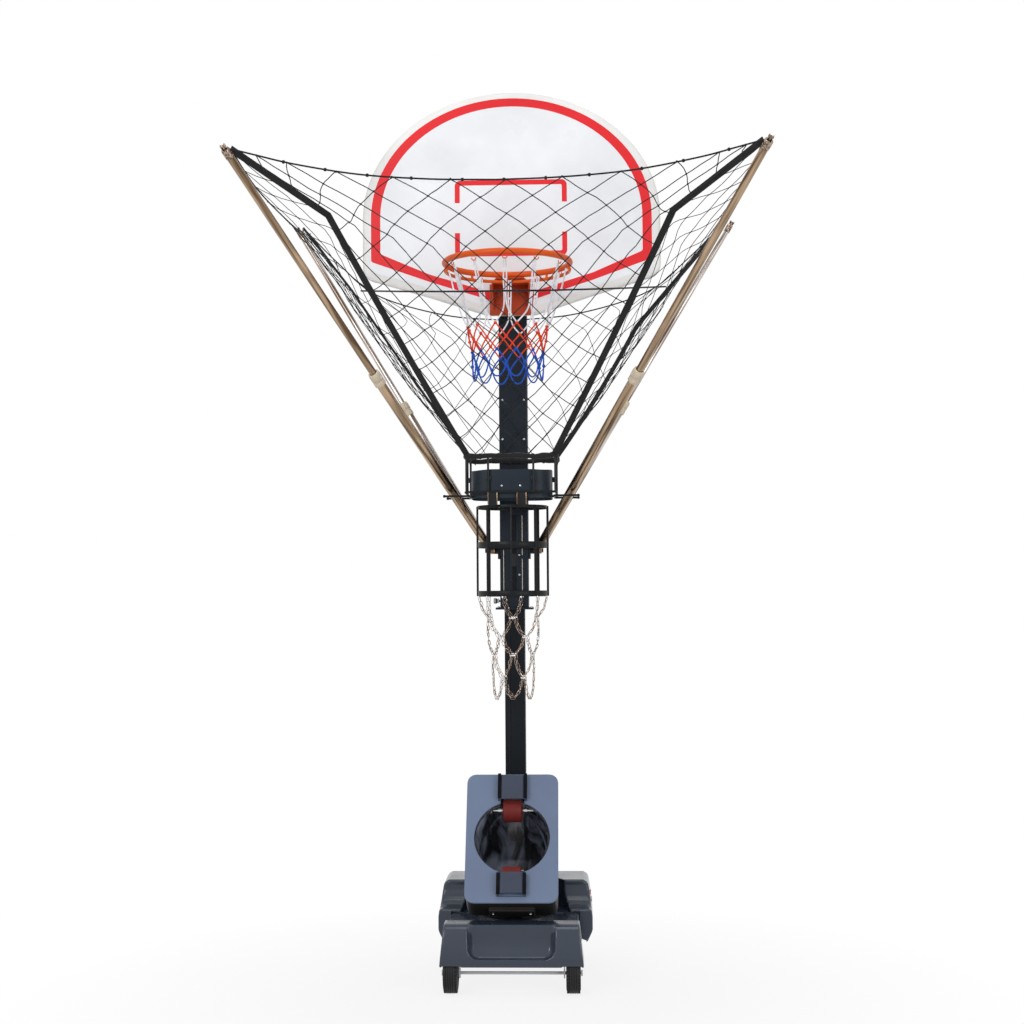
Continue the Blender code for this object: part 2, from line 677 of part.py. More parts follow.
def rear_cover():
    """Moulded rear housing whose ears stand either side of the launcher, open underneath."""
    low = BASE_CLEARANCE + 0.008
    half = [(EAR_HALF_WIDTH - 0.025, EAR_TOP), (EAR_HALF_WIDTH - 0.006, EAR_TOP - 0.012),
            (EAR_HALF_WIDTH, 0.300), (EAR_BULGE_HALF_WIDTH, 0.215), (EAR_BULGE_HALF_WIDTH, 0.165),
            (EAR_BULGE_HALF_WIDTH - 0.022, low), ]
    outline = [(-x, z) for x, z in half] + [(x, z) for x, z in reversed(half)]
    cover = front_slab("rear_cover", outline, COVER_SPLIT, BASE_REAR)
    scoop = cylinder("scoop", (-0.40, -EAR_FRONT - 0.070, EAR_TOP - 0.020),
                     (0.40, -EAR_FRONT - 0.070, EAR_TOP - 0.020), EAR_SCOOP_RADIUS, 24)
    tail = side_slab("tail", [(BASE_REAR - 0.080, EAR_TOP + 0.001), (BASE_REAR + 0.001, EAR_TOP - 0.090),
                              (BASE_REAR + 0.050, EAR_TOP + 0.050)], -0.40, 0.40)
    cut(cover, scoop, tail)
    round_edges(cover, 0.012, 1)
    inner_half = [(x - 2 * COVER_WALL, z - COVER_WALL) for x, z in half]
    inner_half[-1] = (inner_half[-1][0], low - 0.010)
    inner = [(-x, z) for x, z in inner_half] + [(x, z) for x, z in reversed(inner_half)]
    hollow = front_slab("hollow", inner, COVER_SPLIT - 0.020, BASE_REAR - COVER_WALL)
    inner_scoop = cylinder("inner_scoop", (-0.40, -EAR_FRONT - 0.070, EAR_TOP - 0.020),
                           (0.40, -EAR_FRONT - 0.070, EAR_TOP - 0.020),
                           EAR_SCOOP_RADIUS + 2 * COVER_WALL, 24)
    inner_tail = side_slab("inner_tail", [(BASE_REAR - 0.090, EAR_TOP + 0.001),
                                          (BASE_REAR - 0.008, EAR_TOP - 0.092),
                                          (BASE_REAR + 0.050, EAR_TOP - 0.050),
                                          (BASE_REAR + 0.050, EAR_TOP + 0.050)], -0.40, 0.40)
    inner_well = cylinder("inner_well", (0.0, SWIVEL_SETBACK, 0.0), (0.0, SWIVEL_SETBACK, 0.60),
                          LAUNCHER_SWEEP + 2 * COVER_WALL, 24)
    well_limit = box("well_limit", (-0.40, -0.60, DECK_TOP - COVER_WALL), (0.40, 0.30, 0.60))
    combine(inner_well, [well_limit], "INTERSECT")
    cut(hollow, inner_scoop, inner_tail, inner_well)
    well = cylinder("well", (0.0, SWIVEL_SETBACK, DECK_TOP), (0.0, SWIVEL_SETBACK, 0.60),
                    LAUNCHER_SWEEP, 24)
    shaft_well = cylinder("shaft_well", (0.0, SWIVEL_SETBACK, 0.10), (0.0, SWIVEL_SETBACK, 0.60),
                          SWIVEL_SHAFT_RADIUS + 0.004, 24)
    cut(cover, hollow, well, shaft_well, mast_passage())
    ports = [box("switch_port", (EAR_HALF_WIDTH - 0.030,
                                 SWITCH_PLACE[0] - SWITCH_LENGTH / 2 - SWITCH_GAP,
                                 SWITCH_PLACE[1] - SWITCH_HEIGHT / 2 - SWITCH_GAP),
                 (EAR_HALF_WIDTH + 0.030, SWITCH_PLACE[0] + SWITCH_LENGTH / 2 + SWITCH_GAP,
                  SWITCH_PLACE[1] + SWITCH_HEIGHT / 2 + SWITCH_GAP)),
             cylinder("charge_hole", (EAR_HALF_WIDTH - 0.030, *PORT_PLACE),
                      (EAR_HALF_WIDTH + 0.030, *PORT_PLACE), PORT_RADIUS + 0.0006, 20), ]
    cut(cover, *ports)
    return finish(cover, "base_plastic")


def power_switch():
    """Rocker that pivots in the right ear on an axis along Y."""
    face = EAR_HALF_WIDTH + 0.001
    y, z = SWITCH_PLACE
    outline = [(face - 0.012, z - 0.004), (face + 0.004, z - SWITCH_HEIGHT / 2), (face + 0.002, z),
               (face + 0.005, z + SWITCH_HEIGHT / 2), (face - 0.012, z + 0.004)]
    rocker = front_slab("power_switch", outline, y - SWITCH_LENGTH / 2, y + SWITCH_LENGTH / 2)
    return finish(rocker, "switch_red")


def charge_port():
    reach = EAR_HALF_WIDTH + 0.0092
    profile = [(PORT_RADIUS * 0.6, 0.0), (PORT_RADIUS * 1.35, 0.0), (PORT_RADIUS * 1.35, -0.0025),
               (PORT_RADIUS, -0.0025), (PORT_RADIUS, -0.024), (PORT_RADIUS * 0.6, -0.024)]
    port = turned("charge_port", profile, (reach, *PORT_PLACE), (1, 0, 0), 12, closed=True)
    return finish(port, "steel")


def mast_socket():
    """Square steel socket welded on a foot plate, which holds the lower mast."""
    floor = TRAY_TOP + TOUCH_GAP
    half_width = MAST_HALF_WIDTH + SOCKET_WALL
    half_depth = LOWER_MAST_DEPTH / 2 + SOCKET_WALL
    socket = box("mast_socket", (-half_width, -half_depth, floor),
                 (half_width, half_depth, floor + SOCKET_HEIGHT))
    foot = box("foot", (-half_width - 0.040, -half_depth - 0.030, floor),
               (half_width + 0.040, half_depth + 0.030, floor + 0.008))
    gussets = []
    for sign in (LEFT, RIGHT):
        root = sign * (half_width - 0.001)
        tip = sign * (half_width + 0.036)
        outline = [(root, floor + 0.004), (tip, floor + 0.004), (root, floor + 0.060)]
        gussets.append(front_slab("gusset", outline, -0.003, 0.003))
    fuse(socket, foot, *gussets)
    inside = box("inside", (-MAST_HALF_WIDTH - TOUCH_GAP, -LOWER_MAST_DEPTH / 2 - TOUCH_GAP, floor + 0.008),
                 (MAST_HALF_WIDTH + TOUCH_GAP, LOWER_MAST_DEPTH / 2 + TOUCH_GAP, floor + 0.50))
    cut(socket, inside)
    return finish(socket, "frame_paint")


def lower_mast():
    """Rectangular tube that stands in the socket; the carriage slides on it."""
    left = -MAST_HALF_WIDTH + RAIL_WIDTH + TOUCH_GAP
    right = MAST_HALF_WIDTH
    half_depth = LOWER_MAST_DEPTH / 2
    mast = box("lower_mast", (left, -half_depth, MAST_FOOT), (right, half_depth, LOWER_MAST_TOP))
    round_edges(mast, 0.004, 2)
    wall = LOWER_MAST_WALL
    bore = box("bore", (left + wall, -half_depth + wall, MAST_FOOT - 0.1),
               (right - wall, half_depth - wall, LOWER_MAST_TOP + 0.1))
    cut(mast, bore)
    return finish(mast, "frame_paint")


def height_rail():
    """Perforated steel rail beside the mast that the lock pin drops into."""
    left = -MAST_HALF_WIDTH
    right = left + RAIL_WIDTH - TOUCH_GAP
    depth = LOWER_MAST_DEPTH / 2
    rail = box("height_rail", (left, -depth, MAST_FOOT), (right, depth, LOWER_MAST_TOP))
    hollow = box("hollow", (left + 0.003, -depth + 0.003, MAST_FOOT - 0.1),
                 (right - 0.003, depth - 0.003, 3.0))
    cut(rail, hollow)
    holes = []
    level = LOCK_PIN_HEIGHT
    while level - RAIL_HOLE_PITCH > RAIL_HOLES_FROM:
        level -= RAIL_HOLE_PITCH
    while level < LOWER_MAST_TOP - 0.03:
        holes.append(cylinder("hole", (left - 0.02, 0.0, level), (left + 0.008, 0.0, level),
                              LOCK_PIN_RADIUS + RUNNING_GAP, 8))
        level += RAIL_HOLE_PITCH
    cut(rail, *holes)
    return finish(rail, "frame_paint")


def battery():
    low = TRAY_TOP + TOUCH_GAP
    pack = box("battery", (-0.190, 0.082, low), (-0.065, 0.167, low + 0.110))
    round_edges(pack, 0.006, 2)
    return finish(pack, "battery_grey")


def control_unit():
    low = TRAY_TOP + TOUCH_GAP
    unit = box("control_unit", (0.065, 0.082, low), (0.190, 0.167, low + 0.060))
    fins = [box("fin", (0.072 + 0.016 * index, 0.087, low + 0.055),
                (0.078 + 0.016 * index, 0.162, low + 0.075)) for index in range(7)]
    fuse(unit, *fins)
    return finish(unit, "motor_metal")


def swivel_motor():
    """Geared motor under the deck whose shaft turns the turntable."""
    low = TRAY_TOP + TOUCH_GAP
    gearbox = box("swivel_motor", (-0.055, SWIVEL_SETBACK - 0.055, low),
                  (0.055, SWIVEL_SETBACK + 0.055, low + 0.050))
    can = cylinder("can", (0.045, SWIVEL_SETBACK, low + 0.025), (0.150, SWIVEL_SETBACK, low + 0.025),
                   0.022, 20)
    neck = cylinder("neck", (0.0, SWIVEL_SETBACK, low + 0.045), (0.0, SWIVEL_SETBACK, low + 0.060),
                    0.024, 20)
    fuse(gearbox, can, neck)
    return finish(gearbox, "motor_metal")


def caster(side, sign):
    """Swivelling caster: fork with its stem, wheel, and a brake pedal."""
    x = sign * CASTER_SPACING / 2
    swivel = axis_empty("caster_swivel_" + side, (x, CASTER_SWIVEL_SETBACK, CASTER_RADIUS))
    axle_y = CASTER_SWIVEL_SETBACK - CASTER_TRAIL
    top = BASE_CLEARANCE + 0.008 - RUNNING_GAP
    cheek = CASTER_WIDTH / 2 + 0.003
    outline = arc((axle_y, CASTER_RADIUS), 0.014, 150, 330, 8)
    outline += [(CASTER_SWIVEL_SETBACK + 0.026, top - 0.010), (CASTER_SWIVEL_SETBACK + 0.026, top),
                (CASTER_SWIVEL_SETBACK - 0.030, top)]
    fork = side_slab("caster_fork_" + side, outline, x - cheek - 0.003, x + cheek + 0.003)
    slot = box("slot", (x - cheek, axle_y - 0.070, -0.01),
               (x + cheek, CASTER_SWIVEL_SETBACK + 0.060, top - 0.004))
    cut(fork, slot)
    stem = cylinder("stem", (x, CASTER_SWIVEL_SETBACK, top - 0.002),
                    (x, CASTER_SWIVEL_SETBACK, top + 0.014), CASTER_STEM_RADIUS, 16)
    pin = cylinder("pin", (x - cheek - 0.002, axle_y, CASTER_RADIUS),
                   (x + cheek + 0.002, axle_y, CASTER_RADIUS), AXLE_RADIUS, 12)
    lug = box("lug", (x - 0.012, CASTER_SWIVEL_SETBACK + 0.020, top - 0.026),
              (x - 0.006, CASTER_SWIVEL_SETBACK + 0.044, top - 0.001))
    fuse(fork, stem, pin, lug)
    pedal_axis = (CASTER_SWIVEL_SETBACK + 0.036, top - 0.016)
    pivot_pin = cylinder("pivot_pin", (x - 0.008, *pedal_axis), (x + 0.012, *pedal_axis), 0.003, 12)
    fuse(fork, pivot_pin)
    finish(fork, "steel")
    roller = wheel("caster_wheel_" + side, (x, axle_y, CASTER_RADIUS), CASTER_RADIUS, CASTER_WIDTH,
                   0.008, 0.005, AXLE_RADIUS + RUNNING_GAP, "tyre_rubber", 16)
    pedal_empty = axis_empty("brake_axis_" + side, (x, *pedal_axis))
    y, z = pedal_axis
    pedal_outline = [(y - 0.007, z - 0.006), (y + 0.030, z - 0.010), (y + 0.034, z - 0.004),
                     (y + 0.010, z + 0.006), (y - 0.004, z + 0.007)]
    pedal = side_slab("brake_pedal_" + side, pedal_outline, x - 0.0055, x + 0.0085)
    eye = cylinder("eye", (x - 0.02, *pedal_axis), (x + 0.02, *pedal_axis), 0.003 + SLIDE_GAP, 12)
    cut(pedal, eye)
    finish(pedal, "switch_red")
    carried_by(swivel, fork, roller)
    carried_by(pedal_empty, pedal)
    return fork, roller, pedal


def base():
    base_tray()
    front_axle()
    front_cover()
    rear_cover()
    mast_socket()
    lower_mast()
    height_rail()
    battery()
    control_unit()
    swivel_motor()
    charge_port()
    power_switch()
    for side, sign in SIDES:
        wheel("front_wheel_" + side, (sign * FRONT_WHEEL_SPACING / 2, FRONT_WHEEL_SETBACK,
                                      FRONT_WHEEL_RADIUS), FRONT_WHEEL_RADIUS, FRONT_WHEEL_WIDTH, 0.012,
              0.008, AXLE_RADIUS + RUNNING_GAP, "tyre_rubber", 24)
        caster(side, sign)


HEAD_FRAME = facing(FACE_BOTTOM, (1, 0, 0), FACE_UP)


def on_face(x, up, depth=0.0):
    """A place on the launcher's face, from its bottom edge, and so deep behind it."""
    return FACE_BOTTOM + FACE_UP * up - FACE_OUT * depth + Vector((x, 0.0, 0.0))


def head_slab(name, outline, shallow, deep):
    """An outline of (x, up the face) points carried between two depths behind the face."""
    place = HEAD_FRAME @ Matrix.Translation((0.0, 0.0, -(shallow + deep) / 2))
    return slab(name, outline, deep - shallow, place)


def head_side_slab(name, outline, x_low, x_high):
    """An outline of (depth, up the face) points carried from one X to another."""
    place = facing(FACE_BOTTOM + Vector(((x_low + x_high) / 2, 0.0, 0.0)), -FACE_OUT, FACE_UP)
    return slab(name, outline, x_high - x_low, place)


def face_outline(inset=0.0):
    corner = FACE_CORNER - inset
    shape = rounded_rectangle(FACE_WIDTH / 2 - inset, FACE_HEIGHT / 2 - inset, corner, 4)
    return [(x, y + FACE_HEIGHT / 2) for x, y in shape]


def bowl_solid(name, grow, throat_reach=0.0):
    """Bowl, hopper and throat as one solid, a little larger than the ball's path."""
    radius = BOWL_RADIUS + grow
    top = HOPPER_CUT_TOP - BALL_REST.z
    profile = [(0.0, top), (radius, top)] + arc((0.0, 0.0), radius, 0, -90, 5)
    solid = turned(name, profile, BALL_REST, (0, 0, 1), 24)
    throat_end = SHOT_CENTRE - FACE_OUT * (PANEL_THICKNESS + TOUCH_GAP - throat_reach)
    throat = cylinder("throat", BALL_REST, throat_end, radius * 0.97, 24, end_radius=radius + THROAT_FLARE)
    return fuse(solid, throat)


def hopper_lid():
    """Everything above the slanted mouth of the hopper."""
    front = SWIVEL_SETBACK - BOWL_RADIUS - 0.010
    rear = SWIVEL_SETBACK + BOWL_RADIUS + 0.010
    return side_slab("lid", [(front, HOPPER_TOP_FRONT), (rear, HOPPER_TOP_REAR),
                             (rear + 0.1, HOPPER_TOP_REAR), (rear + 0.1, 1.2), (front - 0.1, 1.2),
                             (front - 0.1, HOPPER_TOP_FRONT)], -0.3, 0.3)


def wheel_clearance(up, depth, half_width, radius):
    place = on_face(0.0, up, depth)
    return cylinder("wheel_space", place - Vector((half_width, 0, 0)),
                    place + Vector((half_width, 0, 0)), radius, 24)


def turntable():
    """Disc on the deck with the shaft below it and two lugs that carry the head."""
    low = DECK_TOP + 0.0015
    top = low + TURNTABLE_THICKNESS
    profile = [(0.0, top), (TURNTABLE_RADIUS - 0.004, top), (TURNTABLE_RADIUS, top - 0.004),
               (TURNTABLE_RADIUS, low), (SWIVEL_SHAFT_RADIUS, low),
               (SWIVEL_SHAFT_RADIUS, SWIVEL_SHAFT_FOOT), (0.0, SWIVEL_SHAFT_FOOT)]
    disc = turned("turntable", profile, (0.0, SWIVEL_SETBACK, 0.0), (0, 0, 1), 24)
    parts = []
    for sign in (LEFT, RIGHT):
        inner, outer = sorted((sign * (LUG_AT - 0.003), sign * (LUG_AT + 0.003)))
        outline = [(SWIVEL_SETBACK + y, z) for y, z in
                   [(0.040, top - 0.004), (-0.040, top - 0.004)]]
        crown = arc((SWIVEL_SETBACK, TILT_AXIS_HEIGHT), 0.015, 200, -20, 8)
        parts.append(side_slab("lug", outline + crown, inner, outer))
        pin_start = sign * (LUG_AT - 0.002)
        pin_end = sign * (HEAD_PLATE_AT + 0.006)
        parts.append(cylinder("pin", (pin_start, SWIVEL_SETBACK, TILT_AXIS_HEIGHT),
                              (pin_end, SWIVEL_SETBACK, TILT_AXIS_HEIGHT), TILT_PIN_RADIUS, 16))
    fuse(disc, *parts)
    return finish(disc, "black_plastic")


def head_frame():
    """Steel side plates that hold the launch axles and hang on the tilt pins."""
    pivot_up = (Vector((0.0, SWIVEL_SETBACK, TILT_AXIS_HEIGHT)) - FACE_BOTTOM).dot(FACE_UP)
    pivot_depth = -(Vector((0.0, SWIVEL_SETBACK, TILT_AXIS_HEIGHT)) - FACE_BOTTOM).dot(FACE_OUT)
    outline = [(0.020, 0.024), (0.120, 0.024), (pivot_depth, pivot_up - 0.016),
               (pivot_depth + 0.012, pivot_up - 0.011), (pivot_depth + 0.016, pivot_up),
               (pivot_depth + 0.012, pivot_up + 0.011), (pivot_depth, pivot_up + 0.016), (0.150, 0.150),
               (0.100, 0.250), (0.100, 0.485), (0.020, 0.485), ]
    plates = []
    for sign in (LEFT, RIGHT):
        inner, outer = sorted((sign * (HEAD_PLATE_AT - 0.002), sign * (HEAD_PLATE_AT + 0.002)))
        plates.append(head_side_slab("plate", outline, inner, outer))
    frame = plates[0]
    frame.name = "head_frame"
    floor = head_side_slab("floor", [(0.022, 0.024), (0.120, 0.024), (0.120, 0.028), (0.022, 0.028)],
                           -HEAD_PLATE_AT, HEAD_PLATE_AT)
    roof = head_side_slab("roof", [(0.022, 0.478), (0.098, 0.478), (0.098, 0.482), (0.022, 0.482)],
                          -HEAD_PLATE_AT, HEAD_PLATE_AT)
    fuse(frame, plates[1], floor, roof)
    bores = [cylinder("bore", (-0.2, SWIVEL_SETBACK, TILT_AXIS_HEIGHT),
                      (0.2, SWIVEL_SETBACK, TILT_AXIS_HEIGHT), TILT_PIN_RADIUS + RUNNING_GAP, 16),
             bowl_cutter()]
    for up, depth in LAUNCH_AXLES:
        place = on_face(0.0, up, depth)
        bores.append(cylinder("axle_bore", place + Vector((0.1, 0, 0)), place + Vector((0.2, 0, 0)),
                              LAUNCH_AXLE_RADIUS + RUNNING_GAP, 16))
    cut(frame, *bores)
    return finish(frame, "steel")


def bowl_cutter():
    return bowl_solid("bowl_space", BOWL_WALL + SLIDE_GAP)


def head_shell():
    """Black moulded box behind the face, open in front and round the hopper."""
    front = PANEL_THICKNESS + TOUCH_GAP
    side = [(front, 0.0), (HEAD_DEPTH, 0.0), (HEAD_DEPTH_TOP, FACE_HEIGHT), (front, FACE_HEIGHT)]
    shell = head_side_slab("head_shell", side, -0.3, 0.3)
    rounded = head_slab("rounded", face_outline(0.003), 0.0, 0.40)
    combine(shell, [rounded], "INTERSECT")
    round_edges(shell, 0.012, 2, 50.0)
    wall = HEAD_WALL
    inner_side = [(-0.05, 0.0), (HEAD_DEPTH - wall, 0.0), (HEAD_DEPTH_TOP - wall, FACE_HEIGHT),
                  (-0.05, FACE_HEIGHT)]
    hollow = head_side_slab("hollow", inner_side, -0.3, 0.3)
    inner_rounded = head_slab("inner_rounded", face_outline(0.003 + wall), -0.1, 0.40)
    combine(hollow, [inner_rounded], "INTERSECT")
    slots = []
    for sign in (LEFT, RIGHT):
        low, high = sorted((sign * (HEAD_PLATE_AT - 0.004), sign * (HEAD_PLATE_AT + 0.004)))
        slots.append(head_side_slab("slot", [(0.10, 0.020), (0.30, 0.040), (0.30, 0.180),
                                             (0.10, 0.160)], low, high))
    cut(shell, hollow, bowl_cutter(), *slots)
    bracket = head_side_slab("bracket", [(0.060, 0.004), (0.060, -0.012), (0.120, -0.012), (0.150, 0.004)],
                             -0.085, 0.085)
    fuse(shell, bracket)
    return finish(shell, "black_plastic")


def face_panel():
    """Blue-grey face with the round ball opening and a notch for each launch wheel."""
    panel = head_slab("face_panel", face_outline(), 0.0, PANEL_THICKNESS)
    round_edges(panel, 0.004, 2, 50.0)
    centre = on_face(0.0, FACE_HEIGHT / 2)
    opening = cylinder("opening", centre + FACE_OUT * 0.05, centre - FACE_OUT * 0.05, OPENING_RADIUS, 40)
    upper = head_slab("upper_notch", [(-0.045, 0.30), (0.045, 0.30), (0.045, UPPER_WHEEL_UP + 0.052),
                                      (-0.045, UPPER_WHEEL_UP + 0.052)], -0.05, 0.05)
    lower = head_slab("lower_notch", [(-0.045, LOWER_WHEEL_UP - 0.052), (0.045, LOWER_WHEEL_UP - 0.052),
                                      (0.045, 0.20), (-0.045, 0.20)], -0.05, 0.05)
    cut(panel, opening, upper, lower)
    return finish(panel, "panel_plastic")


def wheel_guard(name, low, high, open_low):
    """Hump with drafted sides over a launch wheel, open behind and on its edge at the ball opening."""
    half = GUARD_WIDTH / 2
    base = -TOUCH_GAP
    outline = [(-half, base), (-half + 0.006, GUARD_RISE * 0.7), (-half + 0.018, GUARD_RISE),
               (half - 0.018, GUARD_RISE), (half - 0.006, GUARD_RISE * 0.7), (half, base)]
    inset = 0.003
    inner = [(-half + inset * 1.5, -0.010), (-half + 0.009, GUARD_RISE * 0.7 - inset * 0.6),
             (-half + 0.020, GUARD_RISE - inset), (half - 0.020, GUARD_RISE - inset),
             (half - 0.009, GUARD_RISE * 0.7 - inset * 0.6), (half - inset * 1.5, -0.010)]
    place = facing(FACE_BOTTOM + FACE_UP * (low + high) / 2 + FACE_OUT * 2 * TOUCH_GAP, (1, 0, 0), FACE_OUT)
    hump = slab(name, outline, high - low, place)
    closed_low, closed_high = (low + inset, high + 0.02) if not open_low else (low - 0.02, high - inset)
    inner_place = facing(FACE_BOTTOM + FACE_UP * (closed_low + closed_high) / 2, (1, 0, 0), FACE_OUT)
    hollow = slab("hollow", inner, closed_high - closed_low, inner_place)
    far_end = high if open_low else low
    lean = 1 if open_low else -1
    corner = head_side_slab("corner", [(-0.20, far_end - lean * 0.075), (-0.001, far_end),
                                       (-0.001, far_end + lean * 0.10), (-0.20, far_end + lean * 0.10)],
                            -0.2, 0.2)
    cut(hump, corner)
    cut(hump, hollow)
    return finish(hump, "panel_plastic")


def feed_shell(name):
    """The whole glossy moulding that a ball passes: hopper, bowl and throat, cleared for the wheels."""
    shell = bowl_solid(name, BOWL_WALL)
    cut(shell, bowl_solid("inside", 0.0, 0.010), hopper_lid())
    spaces = [wheel_clearance(up, depth, 0.045, LAUNCH_WHEEL_RADIUS + 0.006) for up, depth in LAUNCH_AXLES]
    for up, depth in LAUNCH_AXLES:
        spaces.append(wheel_clearance(up, depth, HEAD_PLATE_AT, MOTOR_RADIUS + 0.002))
    return cut(shell, *spaces)


def feed_bowl():
    """Lower half of the feed moulding, where a ball comes to rest."""
    bowl = feed_shell("feed_bowl")
    cut(bowl, box("above", (-0.4, -0.9, FEED_SPLIT), (0.4, 0.3, FEED_SPLIT + 1.0)))
    return finish(bowl, "black_plastic")


def hopper():
    """Upper half of the feed moulding, whose mouth stands under the cage."""
    upper = feed_shell("hopper")
    cut(upper, box("below", (-0.4, -0.9, FEED_SPLIT - 1.0), (0.4, 0.3, FEED_SPLIT + TOUCH_GAP)))
    return finish(upper, "black_plastic")


def launch_wheel(name, up, depth):
    """Red rubber-faced wheel fixed on its steel axle."""
    centre = on_face(0.0, up, depth)
    half = LAUNCH_WHEEL_WIDTH / 2
    radius = LAUNCH_WHEEL_RADIUS
    profile = [(0.0, HEAD_PLATE_AT + 0.004), (LAUNCH_AXLE_RADIUS, HEAD_PLATE_AT + 0.004),
               (LAUNCH_AXLE_RADIUS, half + 0.004), (0.016, half + 0.004), (0.016, half),
               (radius - 0.003, half), (radius, half - 0.006), (radius, -half + 0.006),
               (radius - 0.003, -half), (0.016, -half), (0.016, -half - 0.004),
               (LAUNCH_AXLE_RADIUS, -half - 0.004), (LAUNCH_AXLE_RADIUS, -MOTOR_FACE + SLIDE_GAP),
               (0.0, -MOTOR_FACE + SLIDE_GAP)]
    obj = turned(name, profile, centre, (1, 0, 0), 16)
    return finish(obj, "wheel_red", 30.0)


def launch_motor(name, up, depth):
    """Motor beside its wheel, bolted to the left side plate."""
    centre = on_face(0.0, up, depth)
    mounting = -HEAD_PLATE_AT + 0.0023
    profile = [(0.0, -MOTOR_FACE), (MOTOR_RADIUS - 0.003, -MOTOR_FACE),
               (MOTOR_RADIUS, -MOTOR_FACE - 0.003), (MOTOR_RADIUS, mounting + 0.012),
               (0.012, mounting + 0.006), (0.012, mounting), (0.0, mounting)]
    obj = turned(name, profile, centre, (1, 0, 0), 16)
    return finish(obj, "motor_metal", 30.0)


def launcher():
    swivel = axis_empty("swivel_axis", (0.0, SWIVEL_SETBACK, DECK_TOP))
    head = [turntable(), head_frame(), head_shell(), face_panel(),
            wheel_guard("upper_guard", UPPER_GUARD_LOW, FACE_HEIGHT - 0.004, True),
            wheel_guard("lower_guard", 0.022, LOWER_GUARD_HIGH, False), feed_bowl(), hopper()]
    for name, (up, depth) in zip(("upper", "lower"), LAUNCH_AXLES):
        spin = axis_empty(name + "_wheel_axis", on_face(0.0, up, depth))
        carried_by(spin, launch_wheel(name + "_launch_wheel", up, depth))
        head.append(launch_motor(name + "_motor", up, depth))
    carried_by(swivel, *head)


def upright(name, half_width, half_depth, low, high):
    """A box standing round the mast's axis."""
    return box(name, (-half_width, -half_depth, low), (half_width, half_depth, high))


def upper_mast():
    """Outer mast with its foot flange, capped above, that slides on the lower mast."""
    mast = upright("upper_mast", SLEEVE_WIDTH / 2, SLEEVE_DEPTH / 2,
                   SLEEVE_BOTTOM - FLANGE_THICKNESS / 2, SLEEVE_TOP)
    round_edges(mast, 0.005, 2)
    flange = upright("flange", FLANGE_WIDTH / 2, FLANGE_DEPTH / 2, SLEEVE_BOTTOM - FLANGE_THICKNESS,
                     SLEEVE_BOTTOM)
    fuse(mast, flange)
    bore = upright("bore", SLEEVE_WIDTH / 2 - SLEEVE_WALL, SLEEVE_DEPTH / 2 - SLEEVE_WALL,
                   SLEEVE_BOTTOM + TOUCH_GAP, SLEEVE_TOP - SLEEVE_WALL)
    mouth = upright("mouth", MAST_HALF_WIDTH + 0.0015, LOWER_MAST_DEPTH / 2 + 0.0015, SLEEVE_BOTTOM - 0.05,
                    SLEEVE_BOTTOM + 0.01)
    half_slot = SLEEVE_SLOT_WIDTH / 2
    slot = box("slot", (-half_slot, -SLEEVE_DEPTH, SLOT_BOTTOM), (half_slot, 0.0, SLOT_TOP))
    pin_hole = cylinder("pin_hole", (-SLEEVE_WIDTH, 0.0, LOCK_PIN_HEIGHT), (0.0, 0.0, LOCK_PIN_HEIGHT),
                        LOCK_PIN_RADIUS + RUNNING_GAP, 12)
    cut(mast, bore, mouth, slot, pin_hole)
    return finish(mast, "mast_paint")


def guide_liner(name, low):
    """Plastic sleeve that fills the space between the two masts."""
    liner = upright(name, SLEEVE_WIDTH / 2 - SLEEVE_WALL - TOUCH_GAP,
                    SLEEVE_DEPTH / 2 - SLEEVE_WALL - TOUCH_GAP, low, low + LINER_HEIGHT)
    inside = upright("inside", MAST_HALF_WIDTH + SLIDE_GAP, LOWER_MAST_DEPTH / 2 + SLIDE_GAP, low - 0.1,
                     low + 0.2)
    pin_hole = cylinder("pin_hole", (-SLEEVE_WIDTH, 0.0, LOCK_PIN_HEIGHT), (0.0, 0.0, LOCK_PIN_HEIGHT),
                        LOCK_PIN_RADIUS + RUNNING_GAP, 12)
    cut(liner, inside, pin_hole)
    return finish(liner, "black_plastic")


def lock_pin():
    """Plunger in the left side of the carriage, drawn back clear of the rail."""
    tip = MAST_HALF_WIDTH + SLIDE_GAP
    knob = SLEEVE_WIDTH / 2 + LOCK_PIN_TRAVEL + SLIDE_GAP
    profile = [(0.0, -tip), (LOCK_PIN_RADIUS - 0.001, -tip), (LOCK_PIN_RADIUS, -tip - 0.002),
               (LOCK_PIN_RADIUS, -knob), (0.011, -knob), (0.008, -knob - 0.006), (0.012, -knob - 0.012),
               (0.012, -knob - 0.019), (0.009, -knob - 0.022), (0.0, -knob - 0.022)]
    pin = turned("lock_pin", profile, (0.0, 0.0, LOCK_PIN_HEIGHT), (1, 0, 0), 12)
    return finish(pin, "steel")


